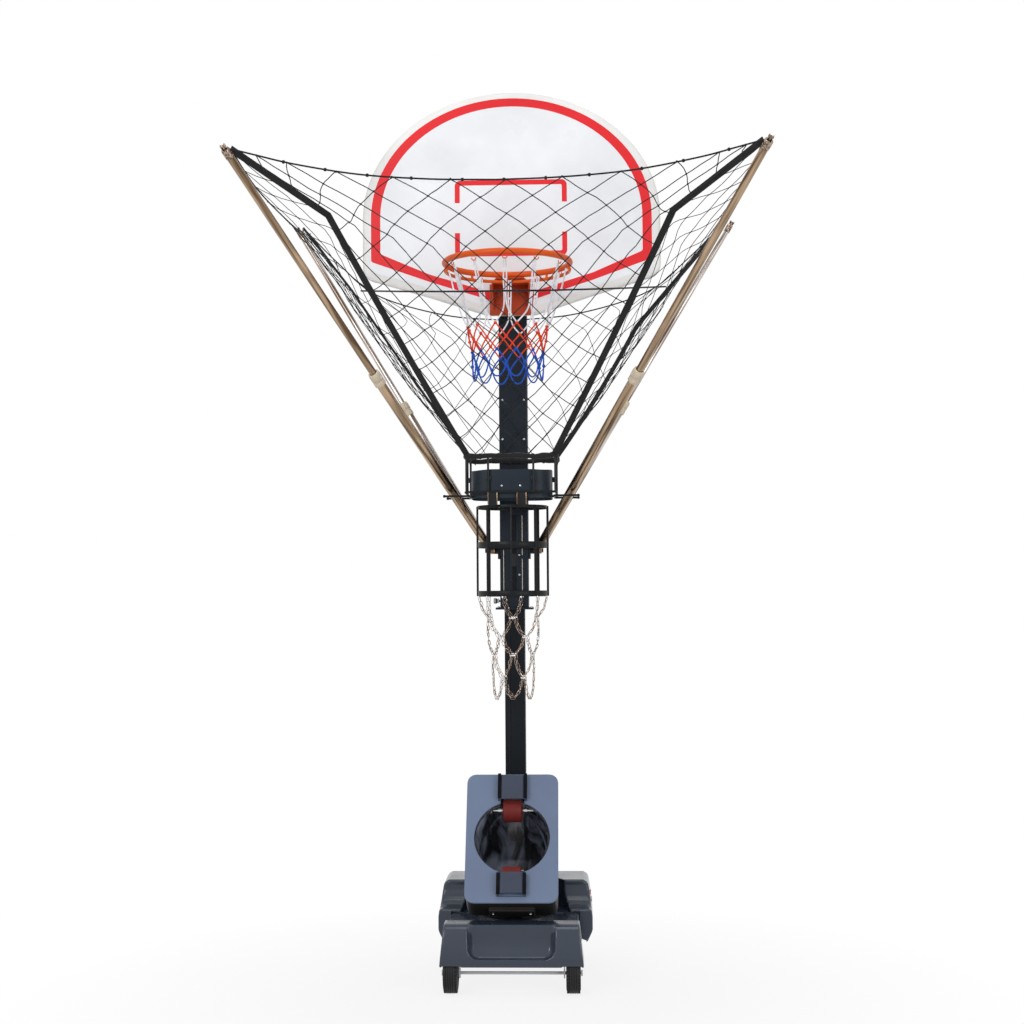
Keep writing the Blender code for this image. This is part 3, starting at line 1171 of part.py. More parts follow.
def board_outline(inset=0.0):
    """The board's outline in X and Z, drawn in by an amount."""
    right = [
        (BOARD_FOOT_HALF_WIDTH - inset * 0.2, BOARD_BOTTOM + inset),
        (BOARD_HALF_WIDTH - 0.386 - inset * 0.3, BOARD_BOTTOM + 0.042 + inset),
        (BOARD_HALF_WIDTH - 0.218 - inset * 0.3, BOARD_BOTTOM + 0.095 + inset),
        (BOARD_HALF_WIDTH - 0.049 - inset * 0.6, BOARD_BOTTOM + 0.138 + inset),
        (BOARD_HALF_WIDTH - 0.021 - inset * 0.8, BOARD_BOTTOM + 0.148 + inset * 0.8),
        (BOARD_HALF_WIDTH - 0.004 - inset, BOARD_BOTTOM + 0.168 + inset * 0.4),
        (BOARD_HALF_WIDTH - inset, BOARD_SIDE_BOTTOM + 0.010),
    ]
    size = (BOARD_HALF_WIDTH - inset, BOARD_TOP - BOARD_SHOULDER - inset)
    crown = arc((0.0, BOARD_SHOULDER), size, 0, 180, 20)
    left = [(-x, z) for x, z in reversed(right)]
    return right + crown + left


def backboard():
    """Moulded board with a flat front, a turned-back edge all round and ribs behind."""
    board = front_slab("backboard", board_outline(), BOARD_FRONT, BOARD_FRONT + BOARD_THICKNESS)
    hollow = front_slab("hollow", board_outline(0.012), BOARD_FRONT + BOARD_WALL,
                        BOARD_FRONT + BOARD_THICKNESS + 0.05)
    cut(board, hollow)
    front = BOARD_FRONT + BOARD_WALL - 0.001
    rear = BOARD_FRONT + BOARD_THICKNESS
    ribs = [box("rib", (sign * BOARD_RIB_AT - 0.005, front, BOARD_BOTTOM + 0.018),
                (sign * BOARD_RIB_AT + 0.005, rear - 0.0005, BOARD_TOP - 0.020)) for sign in (LEFT, RIGHT)]
    for height, narrower in zip(BOARD_RIB_HEIGHTS, (0.006, 0.016)):
        half_width = BOARD_HALF_WIDTH - narrower
        ribs.append(box("rib", (-half_width, front, height - 0.004),
                        (half_width, rear - 0.004, height + 0.004)))
    fuse(board, *ribs)
    return finish(board, "board_white")


def board_frame():
    """Welded frame that clamps round the upper mast and carries the board."""
    rear = BOARD_FRONT + BOARD_THICKNESS
    face = rear + TOUCH_GAP
    mast_front = -SLEEVE_DEPTH / 2 - TOUCH_GAP
    frame = box("board_frame", (-BOARD_RIB_AT - 0.015, face, BOARD_STILE_LOW),
                (-BOARD_RIB_AT + 0.015, face + 0.024, BOARD_STILE_HIGH))
    joined = [box("stile", (BOARD_RIB_AT - 0.015, face, BOARD_STILE_LOW),
                  (BOARD_RIB_AT + 0.015, face + 0.024, BOARD_STILE_HIGH))]
    clamp_inner = SLEEVE_WIDTH / 2 + TOUCH_GAP
    clamp_outer = clamp_inner + 0.006
    rear_inner = SLEEVE_DEPTH / 2 + TOUCH_GAP
    for height in BOARD_CLAMP_HEIGHTS:
        low = height - 0.018
        high = height + 0.018
        joined.append(box("rail", (-BOARD_RIB_AT - 0.005, face + 0.006, low),
                          (BOARD_RIB_AT + 0.005, mast_front, high)))
        for sign in (LEFT, RIGHT):
            inner, outer = sorted((sign * clamp_inner, sign * clamp_outer))
            joined.append(box("cheek", (inner, mast_front - 0.010, low), (outer, rear_inner + 0.006, high)))
        joined.append(box("strap", (-clamp_outer, rear_inner, low),
                          (clamp_outer, rear_inner + 0.006, high)))
    fuse(frame, *joined)
    return finish(frame, "frame_paint")


def rim_bracket():
    """Back plate, shelf and two webs that hold the rim on the board."""
    plate_rear = BOARD_FRONT - TOUCH_GAP
    plate_front = plate_rear - 0.006
    top = RIM_HEIGHT - RIM_TUBE - TOUCH_GAP
    half = RIM_PLATE_WIDTH / 2
    bracket = box("rim_bracket", (-half, plate_front, top - RIM_PLATE_HEIGHT), (half, plate_rear, top))
    shelf_front = BOARD_FRONT - RIM_OFFSET + RIM_RADIUS - 0.014
    shelf = plan_slab("shelf", [(-half + 0.007, plate_rear - 0.002), (-0.055, shelf_front),
                                (0.055, shelf_front), (half - 0.007, plate_rear - 0.002)], top - 0.005,
                      top)
    webs = []
    for sign in (LEFT, RIGHT):
        inner, outer = sorted((sign * (half - 0.017), sign * (half - 0.012)))
        outline = [(plate_rear - 0.003, top - 0.002), (plate_front - 0.085, top - 0.002),
                   (plate_front - 0.085, top - 0.018), (plate_rear - 0.003, top - RIM_PLATE_HEIGHT + 0.015)]
        webs.append(side_slab("web", outline, inner, outer))
    fuse(bracket, shelf, *webs)
    return finish(bracket, "rim_orange")


def rim():
    """Hoop of round bar with a half hoop braced below its rear."""
    section = [(RIM_RADIUS + x, z) for x, z in arc((0.0, 0.0), RIM_TUBE, 90, -210, 5)]
    hoop = turned("rim", section, (0.0, RIM_CENTRE_Y, RIM_HEIGHT), (0, 0, 1), 32, closed=True)
    level = RIM_HEIGHT - BRACE_DROP
    route = [(x, y, level) for x, y in arc((0.0, RIM_CENTRE_Y), RIM_RADIUS, 5, 175, 12)]
    brace = pipe("brace", route, BRACE_TUBE)
    posts = []
    for angle in (8, 52, 128, 172):
        x, y = arc((0.0, RIM_CENTRE_Y), RIM_RADIUS, angle, angle, 1)[0]
        posts.append(cylinder("post", (x, y, level), (x, y, RIM_HEIGHT), 0.005, 6))
    fuse(hoop, brace, *posts)
    return finish(hoop, "rim_orange")


def netting(name, rows, cord, finish_name, around=False):
    """A net whose knots are rows of points, drawn as square cords; rows may close round on themselves."""
    work = bmesh.new()
    knots = [[work.verts.new(point) for point in row] for row in rows]
    for lower, upper in zip(knots, knots[1:]):
        count = len(lower) if around else len(lower) - 1
        for index in range(count):
            after = (index + 1) % len(lower)
            work.faces.new((lower[index], lower[after], upper[after], upper[index]))
    mesh = bpy.data.meshes.new(name)
    work.to_mesh(mesh)
    work.free()
    net = new_object(name, mesh)
    step = net.modifiers.new("cords", "WIREFRAME")
    step.thickness = cord
    step.use_even_offset = False
    step.use_boundary = True
    step.use_replace = True
    bake(net)
    return finish(net, finish_name, 60.0)


def hanging_net(name, centre, top, bottom, loops, rows, cord, finish_name):
    """A tapering round net between (radius, height) at its top and at its bottom."""
    rings = []
    for row in range(rows + 1):
        share = row / rows
        radius = top[0] + (bottom[0] - top[0]) * share ** 0.8
        height = top[1] + (bottom[1] - top[1]) * share
        ring = arc(centre, radius, 0, 360, loops)[:-1]
        rings.append([(x, y, height) for x, y in ring])
    return netting(name, rings, cord, finish_name, around=True)


def hoop_net():
    top = (HOOP_NET_TOP_RADIUS, RIM_HEIGHT - 0.024)
    bottom = (HOOP_NET_BOTTOM_RADIUS, HOOP_NET_BOTTOM)
    return hanging_net("hoop_net", (0.0, RIM_CENTRE_Y), top, bottom, HOOP_NET_LOOPS, 3, NET_CORD,
                       "net_white")


def rod(name, points, cyclic=False):
    return pipe(name, points, ROD_RADIUS, cyclic)


def collector_frame():
    """Rod frame that holds the net's hem."""
    half = COLLECTOR_HALF_WIDTH
    front = COLLECTOR_FRONT
    rear = COLLECTOR_REAR
    corner = 0.012
    corners = [(half - corner, front), (half, front + corner), (half, rear - corner),
               (half - corner, rear), (-half + corner, rear), (-half, rear - corner),
               (-half, front + corner), (-half + corner, front)]
    frame = rod("collector_frame", [(x, y, COLLECTOR_TOP) for x, y in corners], cyclic=True)
    bowed = [(x, y, COLLECTOR_BOTTOM) for x, y in corners]
    bowed += [(-half * 0.5, front - 0.004, COLLECTOR_BOTTOM - 0.009),
              (0.0, front - 0.005, COLLECTOR_BOTTOM - 0.012),
              (half * 0.5, front - 0.004, COLLECTOR_BOTTOM - 0.009)]
    joined = [rod("bottom", bowed, cyclic=True)]
    inset = corner * 0.3
    posts = [(half - inset, front + inset), (half - inset, rear - inset), (half, COLLECTOR_MIDDLE)]
    for sign in (LEFT, RIGHT):
        for x, y in posts:
            joined.append(cylinder("post", (sign * x, y, COLLECTOR_BOTTOM),
                                   (sign * x, y, COLLECTOR_TOP), 0.0045, 6))
        joined.append(cylinder("front_post", (sign * FRONT_POST_AT, front, COLLECTOR_BOTTOM - 0.009),
                               (sign * FRONT_POST_AT, front, COLLECTOR_TOP), 0.0045, 6))
    for left in (-0.090, 0.023):
        joined.append(box("tab", (left, front - 0.003, COLLECTOR_BOTTOM - 0.046),
                          (left + 0.034, front + 0.001, COLLECTOR_BOTTOM - 0.006)))
    mast_front = -SLEEVE_DEPTH / 2 - TOUCH_GAP
    for height in (COLLECTOR_TOP, COLLECTOR_BOTTOM):
        joined.append(box("mast_tab", (-0.035, rear - 0.002, height - 0.010),
                          (0.035, mast_front, height + 0.004)))
    fuse(frame, *joined)
    return finish(frame, "frame_paint")


def pole_rest(side, sign):
    """Rod inside and under the collector's side rail whose two ends reach out past the poles."""
    along = sign * (COLLECTOR_HALF_WIDTH - ROD_RADIUS - REST_RADIUS)
    level = COLLECTOR_BOTTOM - ROD_RADIUS - TOUCH_GAP - REST_RADIUS
    reach = sign * PRONG_REACH
    route = [(reach, FRONT_PRONG_AT, level), (along, FRONT_PRONG_AT, level),
             (along, REAR_PRONG_AT, level), (reach, REAR_PRONG_AT, level)]
    rest = pipe("pole_rest_" + side, route, REST_RADIUS)
    ends = [ball("prong_end", (reach, place, level), REST_RADIUS + 0.002, 8)
            for place in (FRONT_PRONG_AT, REAR_PRONG_AT)]
    fuse(rest, *ends)
    return finish(rest, "frame_paint")


def rounded_ring(half_width, half_depth, power=4.0, count=20):
    """A box-like oval in X and Y round the collector's middle."""
    points = []
    for step in range(count):
        angle = math.tau * step / count
        x = math.copysign(abs(math.cos(angle)) ** (2 / power), math.cos(angle))
        y = math.copysign(abs(math.sin(angle)) ** (2 / power), math.sin(angle))
        points.append((half_width * x, COLLECTOR_MIDDLE + half_depth * y))
    return points


def collector_band():
    """Sheet band inside the rod frame that guides a ball down into the cage."""
    band = plan_slab("collector_band", rounded_ring(0.160, 0.1275), BAND_BOTTOM, BAND_TOP)
    inside = plan_slab("inside", rounded_ring(0.158, 0.1255), BAND_BOTTOM - 0.1, BAND_TOP + 0.1)
    cut(band, inside)
    middle = (BAND_TOP + BAND_BOTTOM) / 2
    tabs = []
    for sign in (LEFT, RIGHT):
        inner, outer = sorted((sign * 0.159, sign * (COLLECTOR_HALF_WIDTH - 0.005)))
        tabs.append(box("tab", (inner, COLLECTOR_MIDDLE - 0.010, middle - 0.010),
                        (outer, COLLECTOR_MIDDLE + 0.010, middle + 0.010)))
        place = sign * FRONT_POST_AT
        tabs.append(box("tab", (place - 0.010, COLLECTOR_FRONT + 0.005, middle - 0.010),
                        (place + 0.010, COLLECTOR_MIDDLE - 0.1215, middle + 0.010)))
    fuse(band, *tabs)
    return finish(band, "frame_paint")


def cage():
    """Three flat hoops and their upright strips, hung from the mast above the launcher."""
    hoops = []
    for height, width in zip(CAGE_RING_HEIGHTS, CAGE_RING_WIDTHS):
        outer = CAGE_RADIUS + CAGE_STRIP / 2
        inner = CAGE_RADIUS - CAGE_STRIP / 2
        profile = [(outer, width / 2), (outer, -width / 2), (inner, -width / 2), (inner, width / 2)]
        hoops.append(turned("hoop", profile, (0.0, SWIVEL_SETBACK, height), (0, 0, 1), 16, closed=True))
    cage_object = hoops[0]
    cage_object.name = "cage"
    joined = hoops[1:]
    low = CAGE_RING_HEIGHTS[-1] - CAGE_RING_WIDTHS[-1] / 2 + 0.002
    high = CAGE_RING_HEIGHTS[0] + CAGE_RING_WIDTHS[0] / 2 - 0.002
    for angle in (0, 45, 90, 135, 180, 225, 270, 315):
        if angle == 180:
            continue
        width = 0.006 if angle == 0 else CAGE_BAR_WIDTH
        strip = box("strip", (-width / 2, -0.002, low), (width / 2, 0.002, high))
        turn = math.radians(angle)
        strip.location.x = CAGE_RADIUS * math.sin(turn)
        strip.location.y = SWIVEL_SETBACK - CAGE_RADIUS * math.cos(turn)
        strip.rotation_euler = (0.0, 0.0, turn)
        joined.append(strip)
    mast_front = -SLEEVE_DEPTH / 2 - TOUCH_GAP
    for height, width in zip(CAGE_RING_HEIGHTS, CAGE_RING_WIDTHS):
        joined.append(box("tab", (-0.024, SWIVEL_SETBACK + CAGE_RADIUS - 0.004, height - width * 0.4),
                          (0.024, mast_front, height + width * 0.4)))
    fuse(cage_object, *joined)
    return finish(cage_object, "frame_paint")


def chain_net():
    bottom_ring = CAGE_RING_HEIGHTS[-1] - CAGE_RING_WIDTHS[-1] / 2
    top = (CAGE_RADIUS, bottom_ring - NET_CORD / 2 - SLIDE_GAP)
    return hanging_net("chain_net", (0.0, SWIVEL_SETBACK), top, (CHAIN_NET_BOTTOM_RADIUS, CHAIN_NET_BOTTOM),
                       CHAIN_NET_LOOPS, 3, NET_CORD, "chain_nickel")


def pole_bracket(side, sign):
    """Plate on the mast's side with a cross pin for the front pole and an ear and pin for the rear one."""
    def span(low, high):
        return sorted((sign * low, sign * high))

    wall = SLEEVE_WIDTH / 2 + TOUCH_GAP
    inner, outer = span(wall, wall + 0.008)
    bracket = box("pole_bracket_" + side, (inner, -0.046, PIVOT_HEIGHT - 0.035),
                  (outer, 0.046, PIVOT_HEIGHT + 0.035))
    front_end = PIVOT_HALF_WIDTH + KNUCKLE_LENGTH / 2
    front = (FRONT_PIVOT_SETBACK, PIVOT_HEIGHT)
    boss_end = sign * (PIVOT_HALF_WIDTH - KNUCKLE_LENGTH / 2 - SLIDE_GAP)
    ear_inner, ear_outer = span(wall + 0.005, PIVOT_HALF_WIDTH + 0.014)
    ear_rear = REAR_PIVOT_SETBACK - KNUCKLE_LENGTH / 2 - SLIDE_GAP
    rear_end = REAR_PIVOT_SETBACK + KNUCKLE_LENGTH / 2
    pivot_x = sign * PIVOT_HALF_WIDTH
    joined = [cylinder("boss", (sign * (wall + 0.004), *front), (boss_end, *front), 0.013, 12),
              cylinder("front_pin", (sign * (wall + 0.006), *front),
                       (sign * (front_end + 0.004), *front), PIN_RADIUS, 12),
              cylinder("front_head", (sign * (front_end + SLIDE_GAP), *front),
                       (sign * (front_end + 0.006), *front), 0.010, 12),
              box("ear", (ear_inner, ear_rear - 0.008, PIVOT_HEIGHT - 0.014),
                  (ear_outer, ear_rear, PIVOT_HEIGHT + 0.014)),
              cylinder("rear_pin", (pivot_x, ear_rear - 0.004, PIVOT_HEIGHT),
                       (pivot_x, rear_end + 0.004, PIVOT_HEIGHT), PIN_RADIUS, 12),
              cylinder("rear_head", (pivot_x, rear_end + SLIDE_GAP, PIVOT_HEIGHT),
                       (pivot_x, rear_end + 0.006, PIVOT_HEIGHT), 0.010, 12)]
    fuse(bracket, *joined)
    return finish(bracket, "frame_paint")


def pole(name, root, tip, radius, collar_at, pin_axis):
    """Telescopic pole: an outer tube with its knuckle and collar, and an inner tube with its tip."""
    along = (tip - root).normalized()
    reach = (tip - root).length
    pin_axis = Vector(pin_axis)

    def at(distance):
        return root + along * distance

    outer = cylinder(name + "_outer", at(0.026), at(collar_at), radius, POLE_SIDES)
    neck = cylinder("neck", at(0.0), at(0.060), radius * 0.60, 12)
    barrel = cylinder("barrel", root - pin_axis * KNUCKLE_LENGTH / 2, root + pin_axis * KNUCKLE_LENGTH / 2,
                      KNUCKLE_RADIUS, POLE_SIDES)
    collar = cylinder("collar", at(collar_at - 0.030), at(collar_at + 0.030), radius + 0.004, POLE_SIDES)
    fuse(outer, neck, barrel, collar)
    bore = cylinder("bore", at(0.065), at(collar_at + 0.1), radius - POLE_WALL, POLE_SIDES)
    eye = cylinder("eye", root - pin_axis * 0.1, root + pin_axis * 0.1, PIN_RADIUS + RUNNING_GAP, 12)
    cut(outer, bore, eye)
    finish(outer, "pole_steel")
    slim = radius - POLE_WALL - RUNNING_GAP
    inner = cylinder(name + "_inner", at(collar_at - INNER_OVERLAP), at(reach - 0.030), slim, POLE_SIDES)
    cap = cylinder("cap", at(reach - 0.050), at(reach - 0.016), slim + 0.002, POLE_SIDES)
    shank = cylinder("shank", at(reach - 0.020), at(reach), 0.006, 8)
    eye_ball = ball("eye_ball", at(reach), 0.011, 8)
    fuse(inner, cap, shank, eye_ball)
    inside = cylinder("inside", at(collar_at - INNER_OVERLAP - 0.1), at(reach - 0.060), slim - 0.003,
                      POLE_SIDES)
    cut(inner, inside)
    finish(inner, "pole_steel")
    hinge = axis_empty(name + "_hinge", root)
    carried_by(hinge, outer, inner)


def mix(first, second, share):
    return Vector(first).lerp(Vector(second), share)


def along_points(points, share):
    """A place on a run of points spaced evenly, from 0 at its start to 1 at its end."""
    place = share * (len(points) - 1)
    index = min(int(place), len(points) - 2)
    return mix(points[index], points[index + 1], place - index)


def net_half(side, sign):
    """One half of the catching net, from the collector's hem out to two pole tips."""
    hem_z = COLLECTOR_TOP + ROD_RADIUS + NET_CORD
    half = COLLECTOR_HALF_WIDTH
    seam = NET_SEAM
    hem = ([(seam, COLLECTOR_FRONT, hem_z), (half, COLLECTOR_FRONT, hem_z)],
           [(half, COLLECTOR_FRONT, hem_z), (half, COLLECTOR_REAR, hem_z)],
           [(half, COLLECTOR_REAR, hem_z), (seam, COLLECTOR_REAR, hem_z)])
    knee = ([(seam, -1.130, 2.660), (0.320, -1.130, 2.700), FRONT_KNEE],
            [FRONT_KNEE, (0.690, -0.550, 2.700), REAR_KNEE],
            [REAR_KNEE, (0.450, -0.080, 2.600), (0.300, -0.100, 2.530), (0.150, -0.095, 2.490),
             (seam, -0.090, 2.470)])
    front_corner = FRONT_TIP + Vector((-0.025, 0.015, 0.015))
    rear_corner = REAR_TIP + Vector((-0.030, -0.020, 0.005))
    top = ([(seam, -1.405, 2.830), (0.220, -1.405, 2.832), (0.440, -1.405, 2.845), (0.660, -1.405, 2.885),
            front_corner],
           [front_corner, (0.850, -0.630, 2.900), rear_corner],
           [rear_corner, (0.720, 0.000, 2.850), (0.550, -0.085, 2.700), (0.270, -0.115, 2.610),
            (seam, -0.100, 2.585)])
    rows = []
    for row in range(NET_LOW_ROWS + NET_HIGH_ROWS + 1):
        points = []
        for section in range(3):
            last = section == 2
            for column in range(NET_COLUMNS + (1 if last else 0)):
                share = column / NET_COLUMNS
                if row <= NET_LOW_ROWS:
                    rise = row / NET_LOW_ROWS
                    place = mix(along_points(hem[section], share), along_points(knee[section], share), rise)
                    place.z -= NET_SAG * 4 * rise * (1 - rise)
                else:
                    rise = (row - NET_LOW_ROWS) / NET_HIGH_ROWS
                    place = mix(along_points(knee[section], share), along_points(top[section], share), rise)
                points.append((sign * place.x, place.y, place.z))
        rows.append(points)
    return netting("net_" + side, rows, NET_CORD, "net_black")


def tie_cord():
    """Taut cord from one rear knee of the net, round in front of the hoop, to the other."""
    right = [(0.150, -0.800, 2.583), (0.400, -0.500, 2.640), (0.625, 0.000, 2.734)]
    route = [(-x, y, z) for x, y, z in reversed(right)] + right
    cord = pipe("tie_cord", route, TIE_CORD_RADIUS)
    return finish(cord, "net_black")


def carriage():
    upper_mast()
    guide_liner("guide_liner_lower", SLEEVE_BOTTOM + 2 * TOUCH_GAP)
    guide_liner("guide_liner_upper", UPPER_LINER_AT)
    lock_pin()
    backboard()
    board_frame()
    rim_bracket()
    rim()
    hoop_net()
    collector_frame()
    collector_band()
    cage()
    chain_net()
    for side, sign in SIDES:
        pole_bracket(side, sign)
        pole_rest(side, sign)


def poles():
    for side, sign in SIDES:
        mirror = Vector((sign, 1.0, 1.0))
        front_root = Vector((sign * PIVOT_HALF_WIDTH, FRONT_PIVOT_SETBACK, PIVOT_HEIGHT))
        pole("front_pole_" + side, front_root, FRONT_TIP * mirror, FRONT_TUBE_RADIUS, FRONT_COLLAR_AT,
             (1, 0, 0))
        rear_root = Vector((sign * PIVOT_HALF_WIDTH, REAR_PIVOT_SETBACK, PIVOT_HEIGHT))
        pole("rear_pole_" + side, rear_root, REAR_TIP * mirror, REAR_TUBE_RADIUS, REAR_COLLAR_AT, (0, 1, 0))


base()
launcher()
carriage()
poles()
for net_side, net_sign in SIDES:
    net_half(net_side, net_sign)
tie_cord()
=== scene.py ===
"""Looks of the basketball shooting machine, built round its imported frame.

Lengths are metres. Shapes are worked out from the mast's axis, with -Y towards the player, and moved by
MAST_Y into the frame's own place.
"""
import json
from math import copysign, cos, pi, radians, sin, tau

import bmesh
import bpy
from mathutils import Matrix, Vector, noise


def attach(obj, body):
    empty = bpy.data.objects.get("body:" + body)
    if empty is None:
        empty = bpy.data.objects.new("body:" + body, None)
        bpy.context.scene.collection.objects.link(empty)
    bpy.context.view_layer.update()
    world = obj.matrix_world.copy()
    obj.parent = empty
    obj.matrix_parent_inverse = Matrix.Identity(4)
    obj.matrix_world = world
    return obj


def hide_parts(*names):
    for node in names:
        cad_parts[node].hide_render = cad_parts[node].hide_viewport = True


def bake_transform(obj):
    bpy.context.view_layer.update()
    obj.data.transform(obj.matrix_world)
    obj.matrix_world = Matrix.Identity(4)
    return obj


noise.seed_set(7)  # else the clock seeds it, and the cords differ from run to run

MAST_Y = 0.613
FACE_TILT = radians(29.3)
FACE_BOTTOM = Vector((0.0, -0.580, 0.344))
FACE_UP = Vector((0.0, sin(FACE_TILT), cos(FACE_TILT)))
FACE_OUT = Vector((0.0, -cos(FACE_TILT), sin(FACE_TILT)))
SWIVEL_Y = -0.190
RIM_CENTRE = Vector((0.0, -0.515, 2.740))
SIDES = (("left", "l", -1), ("right", "r", 1))

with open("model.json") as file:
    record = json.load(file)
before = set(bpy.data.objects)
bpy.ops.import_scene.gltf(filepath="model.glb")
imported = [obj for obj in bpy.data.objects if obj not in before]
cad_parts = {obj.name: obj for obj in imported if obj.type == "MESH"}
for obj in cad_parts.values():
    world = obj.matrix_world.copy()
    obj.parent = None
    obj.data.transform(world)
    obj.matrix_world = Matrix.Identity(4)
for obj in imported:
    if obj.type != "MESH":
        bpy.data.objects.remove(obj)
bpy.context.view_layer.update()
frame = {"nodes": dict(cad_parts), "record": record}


# ---------------------------------------------------------------- materials

def srgb(colour):
    """An eight-bit screen colour as a linear one."""
    shares = [value / 255.0 for value in colour]
    return tuple(value / 12.92 if value <= 0.04045 else ((value + 0.055) / 1.055) ** 2.4 for value in shares)


def paler(colour, gain, lift):
    return tuple(min(value * gain + lift, 1.0) for value in colour)


class Nodes:
    """Short calls that add shader nodes to a tree."""

    def __init__(self, tree):
        self.tree = tree

    def put(self, socket, value):
        if isinstance(value, bpy.types.NodeSocket):
            self.tree.links.new(value, socket)
        else:
            socket.default_value = value

    def node(self, kind, sockets=(), **settings):
        """A node with its properties set, then its sockets, by their order or by their keys."""
        made = self.tree.nodes.new("ShaderNode" + kind)
        for key, value in settings.items():
            setattr(made, key, value)
        for key, value in sockets.items() if isinstance(sockets, dict) else enumerate(sockets):
            self.put(made.inputs[key], value)
        return made

    def rgb(self, colour):
        made = self.node("RGB")
        made.outputs[0].default_value = (*colour, 1.0)
        return made.outputs[0]

    def ramp(self, value, low, high, start=0.0, end=1.0):
        return self.node("MapRange", (value, low, high, start, end)).outputs[0]

    def mix(self, share, first, second, mode="MIX"):
        return self.node("Mix", {0: share, 6: first, 7: second}, data_type="RGBA", blend_type=mode).outputs[2]

    def maths(self, operation, first, second):
        return self.node("Math", (first, second), operation=operation).outputs[0]

    def vectors(self, operation, *values):
        """The vector and the value that come out of a vector operation."""
        return self.node("VectorMath", values, operation=operation).outputs

    def seen(self):
        """1 where the camera looks straight on, or by way of a mirror or glass."""
        paths = self.node("LightPath").outputs
        direct = self.maths("MAXIMUM", paths["Is Camera Ray"], paths["Is Glossy Ray"])
        return self.maths("MAXIMUM", direct, paths["Is Transmission Ray"])


class Finish(Nodes):
    """A material: mottled colour, uneven gloss, grain, dust on upper faces and worn edges."""

    def __init__(self, name, colour, rough, metal=0.0, specular=0.5):
        self.material = bpy.data.materials.new(name)
        self.material.use_nodes = True
        super().__init__(self.material.node_tree)
        self.shader = self.tree.nodes["Principled BSDF"]
        self.place = self.node("TexCoord").outputs["Object"]
        self.colour = self.rgb(colour)
        self.rough = rough
        self.height = None
        self.put(self.shader.inputs["Metallic"], metal)
        self.put(self.shader.inputs["Specular IOR Level"], specular)

    def stretched(self, scale):
        return self.node("Mapping", {"Vector": self.place, "Scale": scale}).outputs[0]

    def noise(self, scale, detail=3.0, place=None, distortion=0.0):
        return self.node("TexNoise", {"Vector": place or self.place, "Scale": scale, "Detail": detail,
                                      "Distortion": distortion}).outputs["Fac"]

    def over(self, share, colour):
        """Lay a colour over the present one."""
        self.colour = self.mix(share, self.colour, self.rgb(colour))
        return self

    def mottle(self, amount, scale=4.0, detail=5.0, place=None):
        """Lighter and darker patches."""
        dark, light = (self.mix(1.0, self.colour, self.rgb((level,) * 3), "MULTIPLY")
                       for level in (1 - amount, 1 + amount))
        self.colour = self.mix(self.ramp(self.noise(scale, detail, place), 0.3, 0.7), dark, light)
        return self

    def uneven(self, amount, scale=9.0, place=None):
        """Gloss that varies from place to place."""
        self.rough = self.ramp(self.noise(scale, 4.0, place), 0.3, 0.7, max(self.rough - amount, 0.03),
                               self.rough + amount)
        return self

    def grain(self, scale, strength, distance=0.0006, place=None):
        """Fine relief."""
        sockets = {"Strength": strength, "Distance": distance, "Height": self.noise(scale, 2.0, place)}
        if self.height is not None:
            sockets["Normal"] = self.height
        self.height = self.node("Bump", sockets).outputs[0]
        return self

    def dust(self, colour, amount, scale=14.0):
        """A little dust on what faces up."""
        normal = self.node("NewGeometry").outputs["Normal"]
        level = self.node("SeparateXYZ", {"Vector": normal}).outputs["Z"]
        patches = self.ramp(self.noise(scale, 6.0), 0.35, 0.75)
        return self.over(self.maths("MULTIPLY", self.ramp(level, 0.4, 1.0, 0.0, amount), patches), colour)

    def worn(self, colour, amount):
        """Paler edges, where the surface turns sharply."""
        turn = self.node("NewGeometry").outputs["Pointiness"]
        return self.over(self.ramp(turn, 0.53, 0.62, 0.0, amount), colour)

    def done(self, coat=0.0, coat_rough=0.1, sheen=0.0):
        sockets = {"Base Color": self.colour, "Roughness": self.rough, "Coat Weight": coat,
                   "Coat Roughness": coat_rough, "Sheen Weight": sheen}
        if self.height is not None:
            sockets["Normal"] = self.height
        for key, value in sockets.items():
            self.put(self.shader.inputs[key], value)
        return self.material


def plastic(name, colour, rough, specular, grain=0.10, coat=0.0):
    colour = srgb(colour)
    made = Finish(name, colour, rough, 0.0, specular)
    made.mottle(0.10, 3.0).uneven(0.06, 7.0).grain(900.0, grain, 0.0004).grain(60.0, 0.05, 0.0008)
    return made.dust(paler(colour, 1.9, 0.01), 0.25).worn(paler(colour, 2.0, 0.01), 0.25).done(coat)


def paint(name, colour, rough, specular=0.4, peel=0.14):
    """Powder coat, with its orange peel."""
    colour = srgb(colour)
    made = Finish(name, colour, rough, 0.0, specular)
    made.mottle(0.08, 6.0).uneven(0.07, 20.0).grain(420.0, peel, 0.0005)
    return made.dust(paler(colour, 1.6, 0.01), 0.2).worn(paler(colour, 2.2, 0.015), 0.3).done()


def metal(name, colour, rough, stretch=60.0, scratch=0.10):
    """Bare metal with fine scratches."""
    made = Finish(name, srgb(colour), rough, 1.0)
    place = made.stretched((stretch,) * 3)
    made.mottle(0.16, 4.0, 6.0, place).uneven(0.09, 3.0, place).grain(8.0, scratch, 0.0003, place)
    return made.grain(14.0, 0.04, 0.001).done()


def cord_finish(name, colour, rough=0.8, braid=900.0):
    made = Finish(name, srgb(colour), rough, 0.0, 0.25)
    return made.mottle(0.18, 60.0).grain(braid, 0.5, 0.0008).done(sheen=0.15)


def rubber(name, colour, rough=0.62, specular=0.3):
    colour = srgb(colour)
    made = Finish(name, colour, rough, 0.0, specular)
    made.mottle(0.16, 22.0).uneven(0.08, 30.0).grain(700.0, 0.2, 0.0006)
    return made.dust(paler(colour, 1.8, 0.02), 0.3, 40.0).done()


